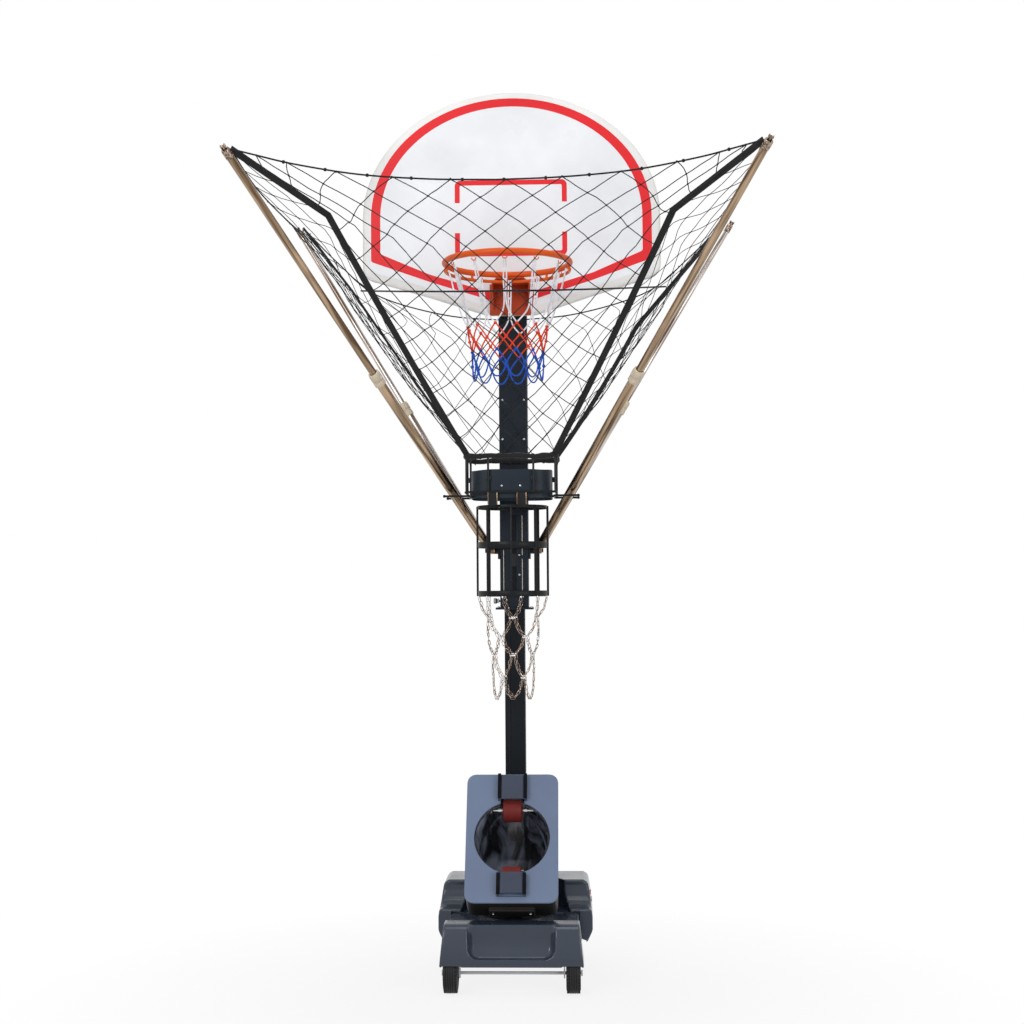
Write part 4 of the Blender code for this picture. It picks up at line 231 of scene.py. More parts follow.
def pole_finish(name, bright, dark, rough):
    """Plated tube whose mirrored surroundings and shaded side are painted into its colour as long uneven dark streaks.
    """
    made = Finish(name, srgb(bright), rough, 1.0)
    streaks = made.stretched((26.0, 26.0, 1.4))
    # Dark streaks along the tube: painted reflection and painted shade.
    share = made.ramp(made.noise(2.6, 4.0, streaks, 0.4), 0.40, 0.62)
    made.colour = made.mix(share, made.rgb(srgb(dark)), made.colour)
    return made.uneven(0.05, 3.0, streaks).done()


def feed_finish():
    """Glossy black moulding with pale smeared streaks of painted reflection, mostly on the faces turned to the bowl's
    axis.
    """
    made = Finish("feed_gloss", srgb((24, 24, 27)), 0.20, 0.0, 0.55).mottle(0.25, 5.0)
    # Pale blue-grey streaks painted into the colour stand in for reflections on the glossy inner faces.
    painted_reflection = made.ramp(made.noise(2.2, 6.0, made.stretched((7.0, 3.0, 3.0)), 0.8), 0.42, 0.66, 0.0, 0.88)
    from_axis = made.vectors("SUBTRACT", made.place, (0.0, MAST_Y + SWIVEL_Y, 0.0))[0]
    level = made.vectors("MULTIPLY", from_axis, (1.0, 1.0, 0.0))[0]
    outward = made.vectors("DOT_PRODUCT", made.node("TexCoord").outputs["Normal"], level)["Value"]
    made.over(made.maths("MULTIPLY", painted_reflection, made.ramp(outward, -0.03, 0.01, 1.0, 0.12)), srgb((172, 180, 202)))
    return made.uneven(0.10, 9.0).grain(26.0, 0.10, 0.002).done(coat=0.3, coat_rough=0.08)


def chain_finish():
    """Nickel wire, bright where it catches the light and darker in random patches."""
    made = Finish("chain_nickel", srgb((176, 158, 142)), 0.26, 1.0)
    made.over(made.ramp(made.noise(150.0, 2.0), 0.42, 0.58, 0.0, 0.85), srgb((66, 52, 44)))
    return made.uneven(0.10, 60.0).grain(600.0, 0.1, 0.0003).done()


BASE = plastic("base_gloss", (50, 59, 74), 0.24, 0.34, 0.07, 0.25)
FACE = plastic("face_satin", (108, 122, 149), 0.42, 0.30, 0.12)
# A darker copy of the face plastic: painted shade for the raised guards.
GUARD_SHADE = plastic("guard_satin_painted_shade", (57, 65, 83), 0.36, 0.30)
SHELL = plastic("shell_black", (30, 28, 26), 0.42, 0.20)
BLACK = plastic("black_moulding", (22, 22, 24), 0.38, 0.3)
FEED = feed_finish()
MAST = paint("mast_coat", (31, 39, 48), 0.40, 0.14)
FRAME = paint("frame_coat", (20, 21, 23), 0.36, 0.14)
RAIL = paint("rail_coat", (19, 23, 28), 0.40, 0.10)
AXLE = paint("axle_zinc", (205, 207, 210), 0.55, 0.2, 0.05)
STEEL = metal("zinc_plate", (160, 161, 165), 0.36, 40.0, 0.03)
BOLT = metal("bolt_steel", (190, 192, 196), 0.24)
MOTOR = metal("motor_case", (120, 122, 126), 0.42)
FRONT_POLE = pole_finish("pole_bronze", (186, 160, 132), (96, 78, 60), 0.24)
REAR_POLE = pole_finish("pole_silver", (214, 206, 200), (112, 98, 88), 0.22)
COLLAR = plastic("collar_cream", (206, 190, 168), 0.45, 0.4, 0.15)
TYRE = rubber("tyre_rubber", (28, 28, 30))
# Near-black rubber used only as painted shade along the guards' sides.
GAP_SHADE = rubber("gap_painted_shade", (13, 14, 16), 0.75, 0.08)
WHEEL_RED = rubber("launch_rubber", (108, 32, 28), 0.55, 0.25)
SIGNAL_RED = plastic("signal_red", (196, 34, 34), 0.35, 0.4)
BATTERY = plastic("battery_case", (84, 86, 88), 0.5, 0.4)
BOARD = plastic("board_gloss", (240, 242, 246), 0.32, 0.3, 0.04)
BOARD_EDGE = plastic("board_rim", (238, 237, 235), 0.38, 0.3, 0.05)
STRIPE = plastic("stripe_red", (224, 38, 44), 0.38, 0.25, 0.05)
RIM = paint("rim_coat", (226, 88, 18), 0.36, 0.25, 0.10)
# A darker copy of the rim's orange: painted shade for the bracket and its bolts under the rim.
RIM_SHADE_COAT = paint("rim_coat_painted_shade", (168, 60, 26), 0.38, 0.25, 0.10)
NET = cord_finish("net_cord", (16, 16, 18))
STRAP = cord_finish("strap_webbing", (24, 24, 26), 0.75, 1400.0)
HOOP_WHITE = cord_finish("cord_white", (236, 237, 243))
HOOP_RED = cord_finish("cord_red", (232, 66, 26))
HOOP_BLUE = cord_finish("cord_blue", (20, 84, 196))
CHAIN = chain_finish()
CLIP = metal("chain_clip", (232, 232, 234), 0.25)

NODE_FINISH = {
    "base_plastic": BASE, "black_plastic": BLACK, "panel_plastic": FACE, "mast_paint": MAST, "frame_paint": FRAME,
    "steel": STEEL, "pole_steel": REAR_POLE, "tyre": TYRE, "wheel_red": WHEEL_RED, "signal_red": SIGNAL_RED,
    "board_white": BOARD, "rim_orange": RIM, "net_white": HOOP_WHITE, "net_black": NET, "chain": CHAIN,
    "motor": MOTOR, "battery": BATTERY,
}
NODE_OWN = {"front_axle": AXLE, "height_rail": RAIL, "lower_mast": RAIL, "head_frame": FRAME, "turntable": FRAME}
SLOTS = {entry["node"]: entry["material_slot"] for entry in frame["record"]["subparts"]}
for node_name, node_object in frame["nodes"].items():
    node_object.data.materials.clear()
    node_object.data.materials.append(NODE_OWN.get(node_name, NODE_FINISH[SLOTS[node_name]]))


# ---------------------------------------------------------------- shapes

WASHER_HEIGHT = 0.0014
TO_FRAME = Matrix.Translation((0.0, MAST_Y, 0.0))


def unit(vector):
    return Vector(vector).normalized()


def mix(first, second, share):
    return Vector(first).lerp(Vector(second), share)


def runs(first, second, count, start=0):
    """Places from one point towards another, in equal steps."""
    return [mix(first, second, step / count) for step in range(start, count + start)]


class Shape:
    """Vertices and faces gathered for one piece."""

    def __init__(self):
        self.verts = []
        self.faces = []

    def add(self, verts, faces):
        first = len(self.verts)
        self.verts.extend(tuple(v) for v in verts)
        self.faces.extend([first + index for index in face] for face in faces)
    def rings(self, rings, closed=False, caps=True):
        """Skin a run of equal rings of points."""
        count, total = len(rings[0]), len(rings)
        faces = []
        for step in range(total if closed else total - 1):
            here, there = step * count, (step + 1) % total * count
            for index in range(count):
                after = (index + 1) % count
                faces.append((here + index, here + after, there + after, there + index))
        if caps and not closed:
            faces.append(tuple(reversed(range(count))))
            faces.append(tuple(range((total - 1) * count, total * count)))
        self.add([point for ring in rings for point in ring], faces)

    def sweep(self, points, radius, sides=10, closed=False, section=None, normal=None):
        """A round rod along points, or a flat section whose thin way faces along normal."""
        points = [Vector(point) for point in points]
        count = len(points)
        radii = radius if isinstance(radius, (list, tuple)) else [radius] * count
        tangents = []
        for index in range(count):
            before = points[(index - 1) % count] if closed or index else points[0]
            after = points[(index + 1) % count] if closed or index < count - 1 else points[-1]
            tangents.append((after - before).normalized())
        across = unit(normal) if normal is not None else tangents[0].orthogonal().normalized()
        rings = []
        for point, tangent, size in zip(points, tangents, radii):
            hint = Vector(normal) if normal is not None else across
            across = (hint - tangent * hint.dot(tangent)).normalized()
            side = tangent.cross(across)
            ring = section or [(cos(tau * k / sides) * size, sin(tau * k / sides) * size) for k in range(sides)]
            rings.append([point + across * u + side * v for u, v in ring])
        self.rings(rings, closed)

    def lathe(self, profile, origin, axis, steps=48, closed=False):
        """A (radius, height) profile turned about an axis; an end with no radius closes to a point."""
        axis = unit(axis)
        first = axis.orthogonal().normalized()
        second = axis.cross(first)
        verts = []
        rings = []
        for radius, height in profile:
            start = len(verts)
            level = Vector(origin) + axis * height
            if radius < 1e-6:
                verts.append(level)
                rings.append([start] * steps)
                continue
            for angle in (tau * k / steps for k in range(steps)):
                verts.append(level + (first * cos(angle) + second * sin(angle)) * radius)
            rings.append(list(range(start, start + steps)))
        faces = []
        for low, high in list(zip(rings, rings[1:])) + ([(rings[-1], rings[0])] if closed else []):
            for k in range(steps):
                after = (k + 1) % steps
                face = list(dict.fromkeys((low[k], low[after], high[after], high[k])))
                if len(face) > 2:
                    faces.append(face)
        if not closed:
            if profile[0][0] >= 1e-6:
                faces.append(list(reversed(rings[0])))
            if profile[-1][0] >= 1e-6:
                faces.append(list(rings[-1]))
        self.add(verts, faces)

    def block(self, low, high, bevel=0.0, turn=None):
        """A box between two corners with chamfered edges."""
        work = bmesh.new()
        bmesh.ops.create_cube(work, size=1.0)
        low, high = Vector(low), Vector(high)
        bmesh.ops.scale(work, vec=high - low, verts=work.verts)
        if bevel:
            bmesh.ops.bevel(work, geom=list(work.edges), offset=bevel, segments=2, profile=0.5, affect="EDGES",
                            clamp_overlap=True)
        place = Matrix.Translation((low + high) / 2)
        bmesh.ops.transform(work, matrix=place @ turn if turn is not None else place, verts=work.verts)
        self.take(work)

    def take(self, work):
        """Add a bmesh; each face starts at its lowest vertex, because a sphere's own order varies between runs."""
        work.verts.index_update()
        faces = []
        for face in work.faces:
            loop = [vert.index for vert in face.verts]
            start = loop.index(min(loop))
            faces.append(loop[start:] + loop[:start])
        self.add([vert.co.copy() for vert in work.verts], sorted(faces))
        work.free()

    def ball(self, centre, radius, steps=12, stretch=(1.0, 1.0, 1.0)):
        work = bmesh.new()
        bmesh.ops.create_uvsphere(work, u_segments=steps, v_segments=max(steps * 2 // 3, 4), radius=radius)
        bmesh.ops.scale(work, vec=stretch, verts=work.verts)
        bmesh.ops.translate(work, vec=Vector(centre), verts=work.verts)
        self.take(work)

    def bolt(self, place, axis, radius=0.0065, height=0.004, washer=True):
        """A button-head screw with a hexagon socket, standing on a surface."""
        rise = WASHER_HEIGHT if washer else 0.0
        if washer:
            self.lathe([(0.0, 0.0), (radius * 1.45, 0.0), (radius * 1.45, 0.0010), (radius * 1.3, rise), (0.0, rise)],
                       place, axis, 20)
        head = [(0.0, -0.0004), (1.0, -0.0004), (1.0, height * 0.35), (0.86, height * 0.75), (0.55, height),
                (0.42, height), (0.40, height * 0.45), (0.0, height * 0.40)]
        self.lathe([(radius * share, rise + level) for share, level in head], place, axis, 18)

    def build(self, name, finish, body, replaces=(), slot=None, sharp=38.0, place=None):
        """Make the piece; with a place, its own axes follow that frame and so do its material's streaks."""
        mesh = bpy.data.meshes.new(name)
        mesh.from_pydata(self.verts, [], self.faces)
        work = bmesh.new()
        work.from_mesh(mesh)
        bmesh.ops.recalc_face_normals(work, faces=work.faces)
        if place is None:
            bmesh.ops.transform(work, matrix=TO_FRAME, verts=work.verts)
        else:
            bmesh.ops.transform(work, matrix=place.inverted(), verts=work.verts)
            place = TO_FRAME @ place
        work.to_mesh(mesh)
        work.free()
        return place_piece(name, mesh, finish, body, replaces, sharp, place)


def place_piece(name, mesh, finish, body, replaces=(), sharp=38.0, place=None):
    mesh.validate()
    mesh.materials.clear()
    mesh.materials.append(finish)
    mesh.shade_smooth()
    mesh.set_sharp_from_angle(angle=radians(sharp))
    piece = bpy.data.objects.new(name, mesh)
    bpy.context.scene.collection.objects.link(piece)
    if place is not None:
        piece.matrix_world = place
        bpy.context.view_layer.update()
    if body:
        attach(piece, body)
    if replaces:
        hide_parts(*replaces)
    return piece


def moulded(name, nodes, finish, body, voxel, rounds, keep, turn=None, form=None):
    """CAD nodes with their edges melted round, as a moulding has them, and pressed into form if asked."""
    work = bmesh.new()
    for node in nodes:
        work.from_mesh(frame["nodes"][node].data)
    bmesh.ops.remove_doubles(work, verts=work.verts, dist=0.00002)
    if turn is not None:
        bmesh.ops.transform(work, matrix=turn.inverted(), verts=work.verts)
    mesh = bpy.data.meshes.new("copy")
    work.to_mesh(mesh)
    work.free()
    copy = bpy.data.objects.new("copy", mesh)
    bpy.context.scene.collection.objects.link(copy)
    for kind, settings in (("REMESH", {"mode": "VOXEL", "voxel_size": voxel}),
                           ("SMOOTH", {"factor": 0.5, "iterations": rounds}), ("DECIMATE", {"ratio": keep})):
        step = copy.modifiers.new(kind, kind)
        for key, value in settings.items():
            setattr(step, key, value)
    bpy.context.view_layer.update()
    mesh = bpy.data.meshes.new_from_object(copy.evaluated_get(bpy.context.evaluated_depsgraph_get()))
    bpy.data.objects.remove(copy, do_unlink=True)
    if turn is not None:
        mesh.transform(turn)
    if form is not None:
        for vert in mesh.vertices:
            vert.co = form(vert.co)
    place_piece(name, mesh, finish, body, nodes, 60.0)


def arc(centre, radius, start, end, count):
    angles = [radians(start + (end - start) * step / count) for step in range(count + 1)]
    return [(centre[0] + radius[0] * cos(angle), centre[1] + radius[1] * sin(angle)) for angle in angles]


def slices(outline, axis, *places):
    """Copies of a flat outline at places along an axis: 0 for X, 1 for Y, 2 for Z."""
    return [[(*point[:axis], place, *point[axis:]) for point in outline] for place in places]


def rounded(start, corner, end, count):
    """The curve that takes a corner off."""
    shares = [step / count for step in range(count + 1)]
    return [start.lerp(corner, share).lerp(corner.lerp(end, share), share) for share in shares]


def filleted(points, radii, count=8):
    """A closed outline whose corners are rounded, each by its own radius."""
    out = []
    total = len(points)
    for index, radius in enumerate(radii):
        corner = Vector(points[index])
        before = Vector(points[index - 1]) - corner
        after = Vector(points[(index + 1) % total]) - corner
        if radius <= 0.0:
            out.append(tuple(corner))
            continue
        reach = min(radius, before.length * 0.45, after.length * 0.45)
        out += [tuple(place) for place in rounded(corner + before.normalized() * reach, corner,
                                                  corner + after.normalized() * reach, count)]
    return out


def bent(points, radius=0.012, count=5, closed=True):
    """Straight runs with rounded corners, in space."""
    points = [Vector(point) for point in points]
    out = []
    total = len(points)
    for index, corner in enumerate(points):
        if not closed and index in (0, total - 1):
            out.append(corner)
            continue
        start, end = (corner + way.normalized() * min(radius, way.length * 0.45)
                      for way in (points[index - 1] - corner, points[(index + 1) % total] - corner))
        out += rounded(start, corner, end, count)
    return out


def drawn_in(outline, amount):
    """A counter-clockwise outline moved inwards."""
    moved = []
    total = len(outline)
    for index in range(total):
        here = Vector(outline[index])
        first = (here - Vector(outline[index - 1])).normalized()
        second = (Vector(outline[(index + 1) % total]) - here).normalized()
        inward = Vector((-first.y - second.y, first.x + second.x))
        moved.append(tuple(here + inward / max(inward.length_squared / 2, 0.5) * amount))
    return moved


def smooth(p0, p1, p2, p3, t):
    """A place between p1 and p2 on the smooth curve through four points."""
    return 0.5 * ((2 * p1) + (p2 - p0) * t + (2 * p0 - 5 * p1 + 4 * p2 - p3) * t * t
                  + (3 * p1 - p0 - 3 * p2 + p3) * t ** 3)


# ---------------------------------------------------------------- board, rim and bracket

BOARD_FRONT = -0.140
BOARD_SHOULDER = 3.000
# Inset and depth behind the front of each ring of the board's rounded rim, from its face round to its rear lip
BOARD_RIM = [(0.036, 0.0), (0.031, 0.0003), (0.027, 0.0016), (0.012, 0.0042), (0.005, 0.0070), (0.0012, 0.0110),
             (0.0, 0.016), (0.0, 0.033), (0.0015, 0.0345), (0.004, 0.035), (0.009, 0.035), (0.0115, 0.0340),
             (0.012, 0.031), (0.012, 0.0065)]


def arch(half_width, top):
    return arc((0.0, BOARD_SHOULDER), (half_width, top - BOARD_SHOULDER), 0, 180, 72)


def crown(half_width, top, corner, rest, corner_radius, foot_radius):
    """The board's outline, counter-clockwise seen from behind: arched top, corners and sloping foot."""
    side = [(half_width, BOARD_SHOULDER), corner] + rest
    radii = [0.0, corner_radius] + [0.0] * (len(rest) - 1) + [foot_radius]
    outline = filleted([(-x, z) for x, z in side] + side[::-1], radii + radii[::-1])
    return outline + arch(half_width, top)[1:-1]


def open_crown(half_width, top, lower):
    """A run from the right foot over the arch to the left foot."""
    return lower[::-1] + arch(half_width, top) + [(-x, z) for x, z in lower]


def stripe(shape, outer, inner):
    """A painted band between two open outlines with equally many points."""
    front, rear = BOARD_FRONT - 0.0005, BOARD_FRONT + 0.002
    shape.rings(list(zip(*slices(outer, 1, rear, front), *slices(inner, 1, front, rear))))


def target_corner(sign, half, end, level, way, radius):
    """A rounded corner of the target square, from the end of its upright to the middle of its level line."""
    bend = arc((half - radius, level - way * radius), (radius, radius), 0, way * 90, 8)
    return [(sign * half, end)] + [(sign * x, z) for x, z in bend] + [(0.0, level)]


def backboard():
    outline = crown(0.601, 3.510, (0.601, 2.762), [(0.331, 2.681), (0.096, 2.604)], 0.045, 0.018)
    face = BOARD_FRONT
    rings = [slices(drawn_in(outline, inset), 1, face + depth)[0] for inset, depth in BOARD_RIM]
    board = Shape()
    board.rings(rings[:2] + slices(drawn_in(outline, 0.0135), 1, face + 0.0064))
    edge = Shape()
    edge.rings(rings[1:], closed=True, caps=False)
    edge.build("board_edge", BOARD_EDGE, "carriage", sharp=60.0)
    for x in (-0.125, 0.125):
        board.block((x - 0.005, face + 0.005, 2.632), (x + 0.005, face + 0.0345, 3.480), 0.002)
    for height, half in ((2.830, 0.590), (3.090, 0.580)):
        board.block((-half, face + 0.005, height - 0.004), (half, face + 0.031, height + 0.004), 0.002)
    board.build("board_moulding", BOARD, "carriage", ["backboard"], "board_white", 50.0)
    stripes = Shape()
    stripe(stripes, open_crown(0.566, 3.484, [(0.566, 2.830), (0.560, 2.8235), (0.331, 2.742), (0.080, 2.662)]),
           open_crown(0.5285, 3.451, [(0.5285, 2.860), (0.523, 2.8545), (0.331, 2.772), (0.080, 2.694)]))
    half, width = 0.226, 0.020
    for sign in (-1, 1):
        for end, level, way in ((3.060, 3.151, 1), (2.938, 2.842, -1)):
            stripe(stripes, target_corner(sign, half, end, level, way, 0.022),
                   target_corner(sign, half - width, end, level - way * width, way, 0.006))
    stripes.build("board_stripes", STRIPE, "carriage", sharp=30.0)


def rim_point(angle, radius, drop=0.0):
    """A place round the hoop; angle 0 is the side nearest the player."""
    turn = radians(angle - 90.0)
    return RIM_CENTRE + Vector((cos(turn) * radius, sin(turn) * radius, -drop))


def hoop():
    ring = Shape()
    ring.sweep([rim_point(360.0 * k / 96, 0.237) for k in range(96)], 0.0118, 16, closed=True)
    ring.sweep([rim_point(88.0 + 184.0 * k / 48, 0.236, 0.028) for k in range(49)], 0.0068, 10)
    for angle in (98, 142, 218, 262):
        ring.sweep([rim_point(angle, 0.237, 0.002), rim_point(angle, 0.236, 0.027)], 0.005, 8)
    ring.build("hoop_ring", RIM, "carriage", ["rim"], "rim_orange")
    hooks = Shape()
    for angle in range(0, 360, 30):
        centre = rim_point(angle, 0.231, 0.0165)
        outward = (rim_point(angle, 1.0) - RIM_CENTRE).normalized()
        side = Vector((-outward.y, outward.x, 0.0))
        turns = [pi * (0.98 + 1.04 * step / 8) for step in range(9)]
        hooks.sweep([centre + side * cos(turn) * 0.0095 + Vector((0, 0, sin(turn) * 0.0095)) for turn in turns],
                    0.0021, 7)
    hooks.build("net_hooks", RIM, "carriage")
    plate = Shape()
    plate.block((-0.087, -0.1463, 2.6008), (0.087, -0.1403, 2.7277), 0.0016)
    shelf = [(-0.080, -0.142), (-0.055, -0.292), (0.055, -0.292), (0.080, -0.142)]
    plate.rings(slices(shelf, 2, 2.7227, 2.7277))
    web = [(-0.143, 2.7257), (-0.231, 2.7257), (-0.231, 2.7097), (-0.143, 2.6157)]
    for sign in (-1, 1):
        plate.rings(slices(web, 0, sign * 0.070, sign * 0.075))
    plate.build("rim_bracket_plate", RIM_SHADE_COAT, "carriage", ["rim_bracket"], "rim_orange")
    bolts = Shape()
    for z in (2.638, 2.690):
        for x in (-0.052, 0.052):
            bolts.bolt((x, -0.1463, z), (0, -1, 0), 0.0075)
    for x in (-0.035, 0.035):
        bolts.bolt((x, -0.268, 2.7277), (0, 0, 1), 0.007, washer=False)
    bolts.build("bracket_bolts", RIM_SHADE_COAT, "carriage")


# ---------------------------------------------------------------- hoop net and chain net

HOOP_CORD = 0.0029
LINK_PITCH = 0.0172
LINK_WIRE = 0.00105
LINK_HALF_WIDTH = 0.0040
LINK_STRAIGHT = 0.0056


def strand(shape, points, radius, sides=7, sway=0.0, per_leg=7):
    """A limp cord through points, rounded at each and swaying a little."""
    points = [Vector(point) for point in points]
    padded = [points[0]] + points + [points[-1]]
    route = []
    for four in zip(padded, padded[1:], padded[2:], padded[3:]):
        for step in range(per_leg):
            place = smooth(*four, step / per_leg)
            route.append(place + noise.noise_vector(place * 14.0) * sway if sway else place)
    shape.sweep(route + [points[-1]], radius, sides)


def hoop_net():
    white, red, blue = Shape(), Shape(), Shape()

    def at(turn, radius, height):
        return rim_point(turn, radius, RIM_CENTRE.z - height)

    def hang(shape, way, sway, *places):
        strand(shape, [at(angle + way * turn, radius, height) for turn, radius, height in places], HOOP_CORD, sway=sway)

    for angle in range(0, 360, 30):
        for way in (-1, 1):
            hang(white, way, 0.003, (1.0, 0.223, 2.716), (1.6, 0.207, 2.650), (0.9, 0.188, 2.585), (3.2, 0.172, 2.535),
                 (14.3, 0.155, 2.492))
            hang(red, way, 0.002, (15.0, 0.154, 2.490), (6.0, 0.149, 2.462), (0.0, 0.145, 2.440))
            hang(red, way, 0.002, (0.0, 0.145, 2.440), (8.0, 0.141, 2.418), (15.0, 0.138, 2.395))
            hang(blue, way, 0.002, (15.0, 0.138, 2.395), (7.0, 0.136, 2.372), (0.0, 0.135, 2.346))
        hang(blue, 1, 0.002, (0.0, 0.135, 2.346), (4.0, 0.134, 2.318), (11.0, 0.133, 2.297), (19.0, 0.133, 2.297),
             (26.0, 0.134, 2.318), (30.0, 0.135, 2.346))
        for shape, turn, radius, height, size in (
                (white, 0.0, 0.205, 2.640, 0.0052), (red, 15.0, 0.154, 2.490, 0.0066), (red, 0.0, 0.145, 2.440, 0.0066),
                (blue, 15.0, 0.138, 2.395, 0.0066), (blue, 0.0, 0.135, 2.346, 0.0066)):
            shape.ball(at(angle + turn, radius, height), size, 9)
    white.build("hoop_net_white", HOOP_WHITE, "carriage", ["hoop_net"], "net_white")
    red.build("hoop_net_red", HOOP_RED, "carriage")
    blue.build("hoop_net_blue", HOOP_BLUE, "carriage")


def round_cage(angle, radius, height):
    turn = radians(angle - 90.0)
    return Vector((cos(turn) * radius, SWIVEL_Y + sin(turn) * radius, height))


def chain(shape, points, flip):
    """Welded links end to end along points, each turned a quarter from the last."""
    lengths = [0.0]
    for first, second in zip(points, points[1:]):
        lengths.append(lengths[-1] + (second - first).length)
    count = max(int(round(lengths[-1] / LINK_PITCH)), 1)
    pitch = lengths[-1] / count

    def at(distance):
        index = next((k for k in range(len(points) - 2) if distance <= lengths[k + 1]), len(points) - 2)
        share = (distance - lengths[index]) / max(lengths[index + 1] - lengths[index], 1e-9)
        return points[index].lerp(points[index + 1], min(max(share, 0.0), 1.0))

    for number in range(count):
        middle = at((number + 0.5) * pitch)
        along = (at((number + 1) * pitch) - at(number * pitch)).normalized()
        outward = middle - Vector((0.0, SWIVEL_Y, middle.z))
        outward = (outward - along * outward.dot(along)).normalized()
        side = along.cross(outward)
        twist = radians(18.0 + 90.0 * ((number + flip) % 2) + 22.0 * noise.noise(middle * 37.0))
        across = side * cos(twist) + outward * sin(twist)
        loop = []
        for turn in (tau * step / 14 for step in range(14)):
            lift = copysign(LINK_STRAIGHT, cos(turn)) if abs(cos(turn)) > 0.05 else 0.0
            loop.append(middle + along * (cos(turn) * LINK_HALF_WIDTH + lift) + across * sin(turn) * LINK_HALF_WIDTH)
        shape.sweep(loop, LINK_WIRE, 6, closed=True)


def chain_net():
    links, clips = Shape(), Shape()
    levels = [(0.108, 1.390), (0.099, 1.315), (0.087, 1.2435), (0.080, 1.156)]
    for k in range(12):
        top = 15.0 + 30.0 * k
        joint = 60.0 * round(top / 60.0)
        way = 1 if joint > top else -1
        chain(links, [round_cage(top, 0.1385, 1.471), round_cage(top + way * 3.6, 0.128, 1.425),
                      round_cage(joint - way * 4.0, *levels[0])], k)
    for level, (upper, lower) in enumerate(zip(levels, levels[1:])):
        for k in range(6):
            joint = 60.0 * k + 30.0 * (level % 2)
            for way in (-1, 1):
                halfway = round_cage(joint + way * 11.0, (upper[0] + lower[0]) / 2 + 0.002,
                                     upper[1] + (lower[1] - upper[1]) * 0.55)
                chain(links, [round_cage(joint + way * 4.0, *upper), halfway, round_cage(joint + way * 26.0, *lower)],
                      k + level + 1)
    radius, height = levels[-1]
    for k in range(6):
        depth = 0.083 + 0.004 * sin(k * 2.1)
        chain(links, [round_cage(60.0 * k + 34.0 + 52.0 * share, radius - 0.006 * sin(share * pi),
                                 height - depth * sin(share * pi) ** 0.55)
                      for share in (step / 12 for step in range(13))], k)
    for level, (radius, height) in enumerate(levels):
        for k in range(6):
            first, last = (round_cage(60.0 * k + 30.0 * (level % 2) + turn, radius, height) for turn in (-5.0, 5.0))
            clips.sweep([first, mix(first, last, 0.5) + Vector((0, 0, -0.001)), last], 0.0030, 10)
            clips.ball(first, 0.0036, 8)
            clips.ball(last, 0.0036, 8)
    for k in range(12):
        clips.ball(round_cage(15.0 + 30.0 * k, 0.1385, 1.4725), 0.0042, 8)
    links.build("chain_links", CHAIN, "carriage", ["chain_net"], "chain")
    clips.build("chain_clips", CLIP, "carriage")


# ---------------------------------------------------------------- catch net

# Each corner's way from the middle, and the reaches where its near zone, its far zone and its tip begin
ZONE_FROM = -0.2
ZONES = {"front": ((0.76, -0.65), (0.80, 1.08, 1.42)), "rear": ((0.50, 0.866), (0.36, 0.50, 0.715))}


def reach_to(place, way, sign):
    return sign * way[0] * place[0] + way[1] * (place[1] - ZONE_FROM)


class ZonedNet:
    """Cords and straps of the catch net, cut where they pass from one moving body to the next."""

    def __init__(self):
        self.shapes = {}

    def shape(self, place, kind):
        """The shape that takes up what lies at a place."""
        zone = ("middle", "", "")
        for corner, (way, (near, far, _)) in reversed(ZONES.items()):
            for side, _, sign in reversed(SIDES):
                reach = reach_to(place, way, sign)
                if reach > near:
                    zone = (corner, side, "far" if reach > far else "near")
        return self.shapes.setdefault((zone, kind), Shape())

    def pieces(self, points):
        """The run of points split at each zone's edge."""
        run = [points[0]]
        for first, second in zip(points, points[1:]):
            cuts = []
            for way, limits in ZONES.values():
                for _, _, sign in SIDES:
                    start, end = reach_to(first, way, sign), reach_to(second, way, sign)
                    cuts += [(limit - start) / (end - start) for limit in limits[:2]
                             if (start - limit) * (end - limit) < 0]
            for share in sorted(cuts):
                place = first.lerp(second, share)
                run.append(place)
                yield run
                run = [place]
            run.append(second)
        yield run

    def draw(self, kind, points, radius, sides=6, section=None, normal=None):
        for run in self.pieces([Vector(p) for p in points]):
            clean = [run[0]]
            for place in run[1:]:
                if (place - clean[-1]).length > 1e-5:
                    clean.append(place)
            if len(clean) > 1:
                middle = clean[len(clean) // 2] if len(clean) > 2 else (clean[0] + clean[1]) / 2
                self.shape(middle, kind).sweep(clean, radius, sides, section=section, normal=normal)

    def knot(self, place, radius):
        self.shape(place, "cord").ball(place, radius, 7)

    def build(self):
        for (zone, kind), shape in sorted(self.shapes.items(), key=lambda entry: entry[0]):
            name = "_".join(part for part in ("net", kind) + zone if part)
            finish = STRAP if kind == "strap" else NET
            if zone[0] == "middle":
                replaces = {"cord": ("net_left", "net_right"), "tie": ("tie_cord",)}.get(kind, ())
                shape.build(name, finish, "carriage", replaces, "net_black")
                continue
            piece = shape.build(name, finish, None, (), "net_black")
            corner, side, part = zone
            way, limits = ZONES[corner]
            sign, letter = (-1, "l") if side == "left" else (1, "r")
            start, end = ((sign * way[0] * limit, MAST_Y + ZONE_FROM + way[1] * limit, 0.0)
                          for limit in (limits[:2] if part == "near" else limits[1:]))
            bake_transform(piece)
            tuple(start)
            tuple(end)


def smooth_at(points, share):
    """A place on a curve through points, spaced evenly by number."""
    place = min(max(share, 0.0), 1.0) * (len(points) - 1)
    index = min(int(place), len(points) - 2)
    p1, p2 = Vector(points[index]), Vector(points[index + 1])
    p0 = Vector(points[index - 1]) if index else p1 * 2 - p2
    p3 = Vector(points[index + 2]) if index + 2 < len(points) else p2 * 2 - p1
    return smooth(p0, p1, p2, p3, place - index)


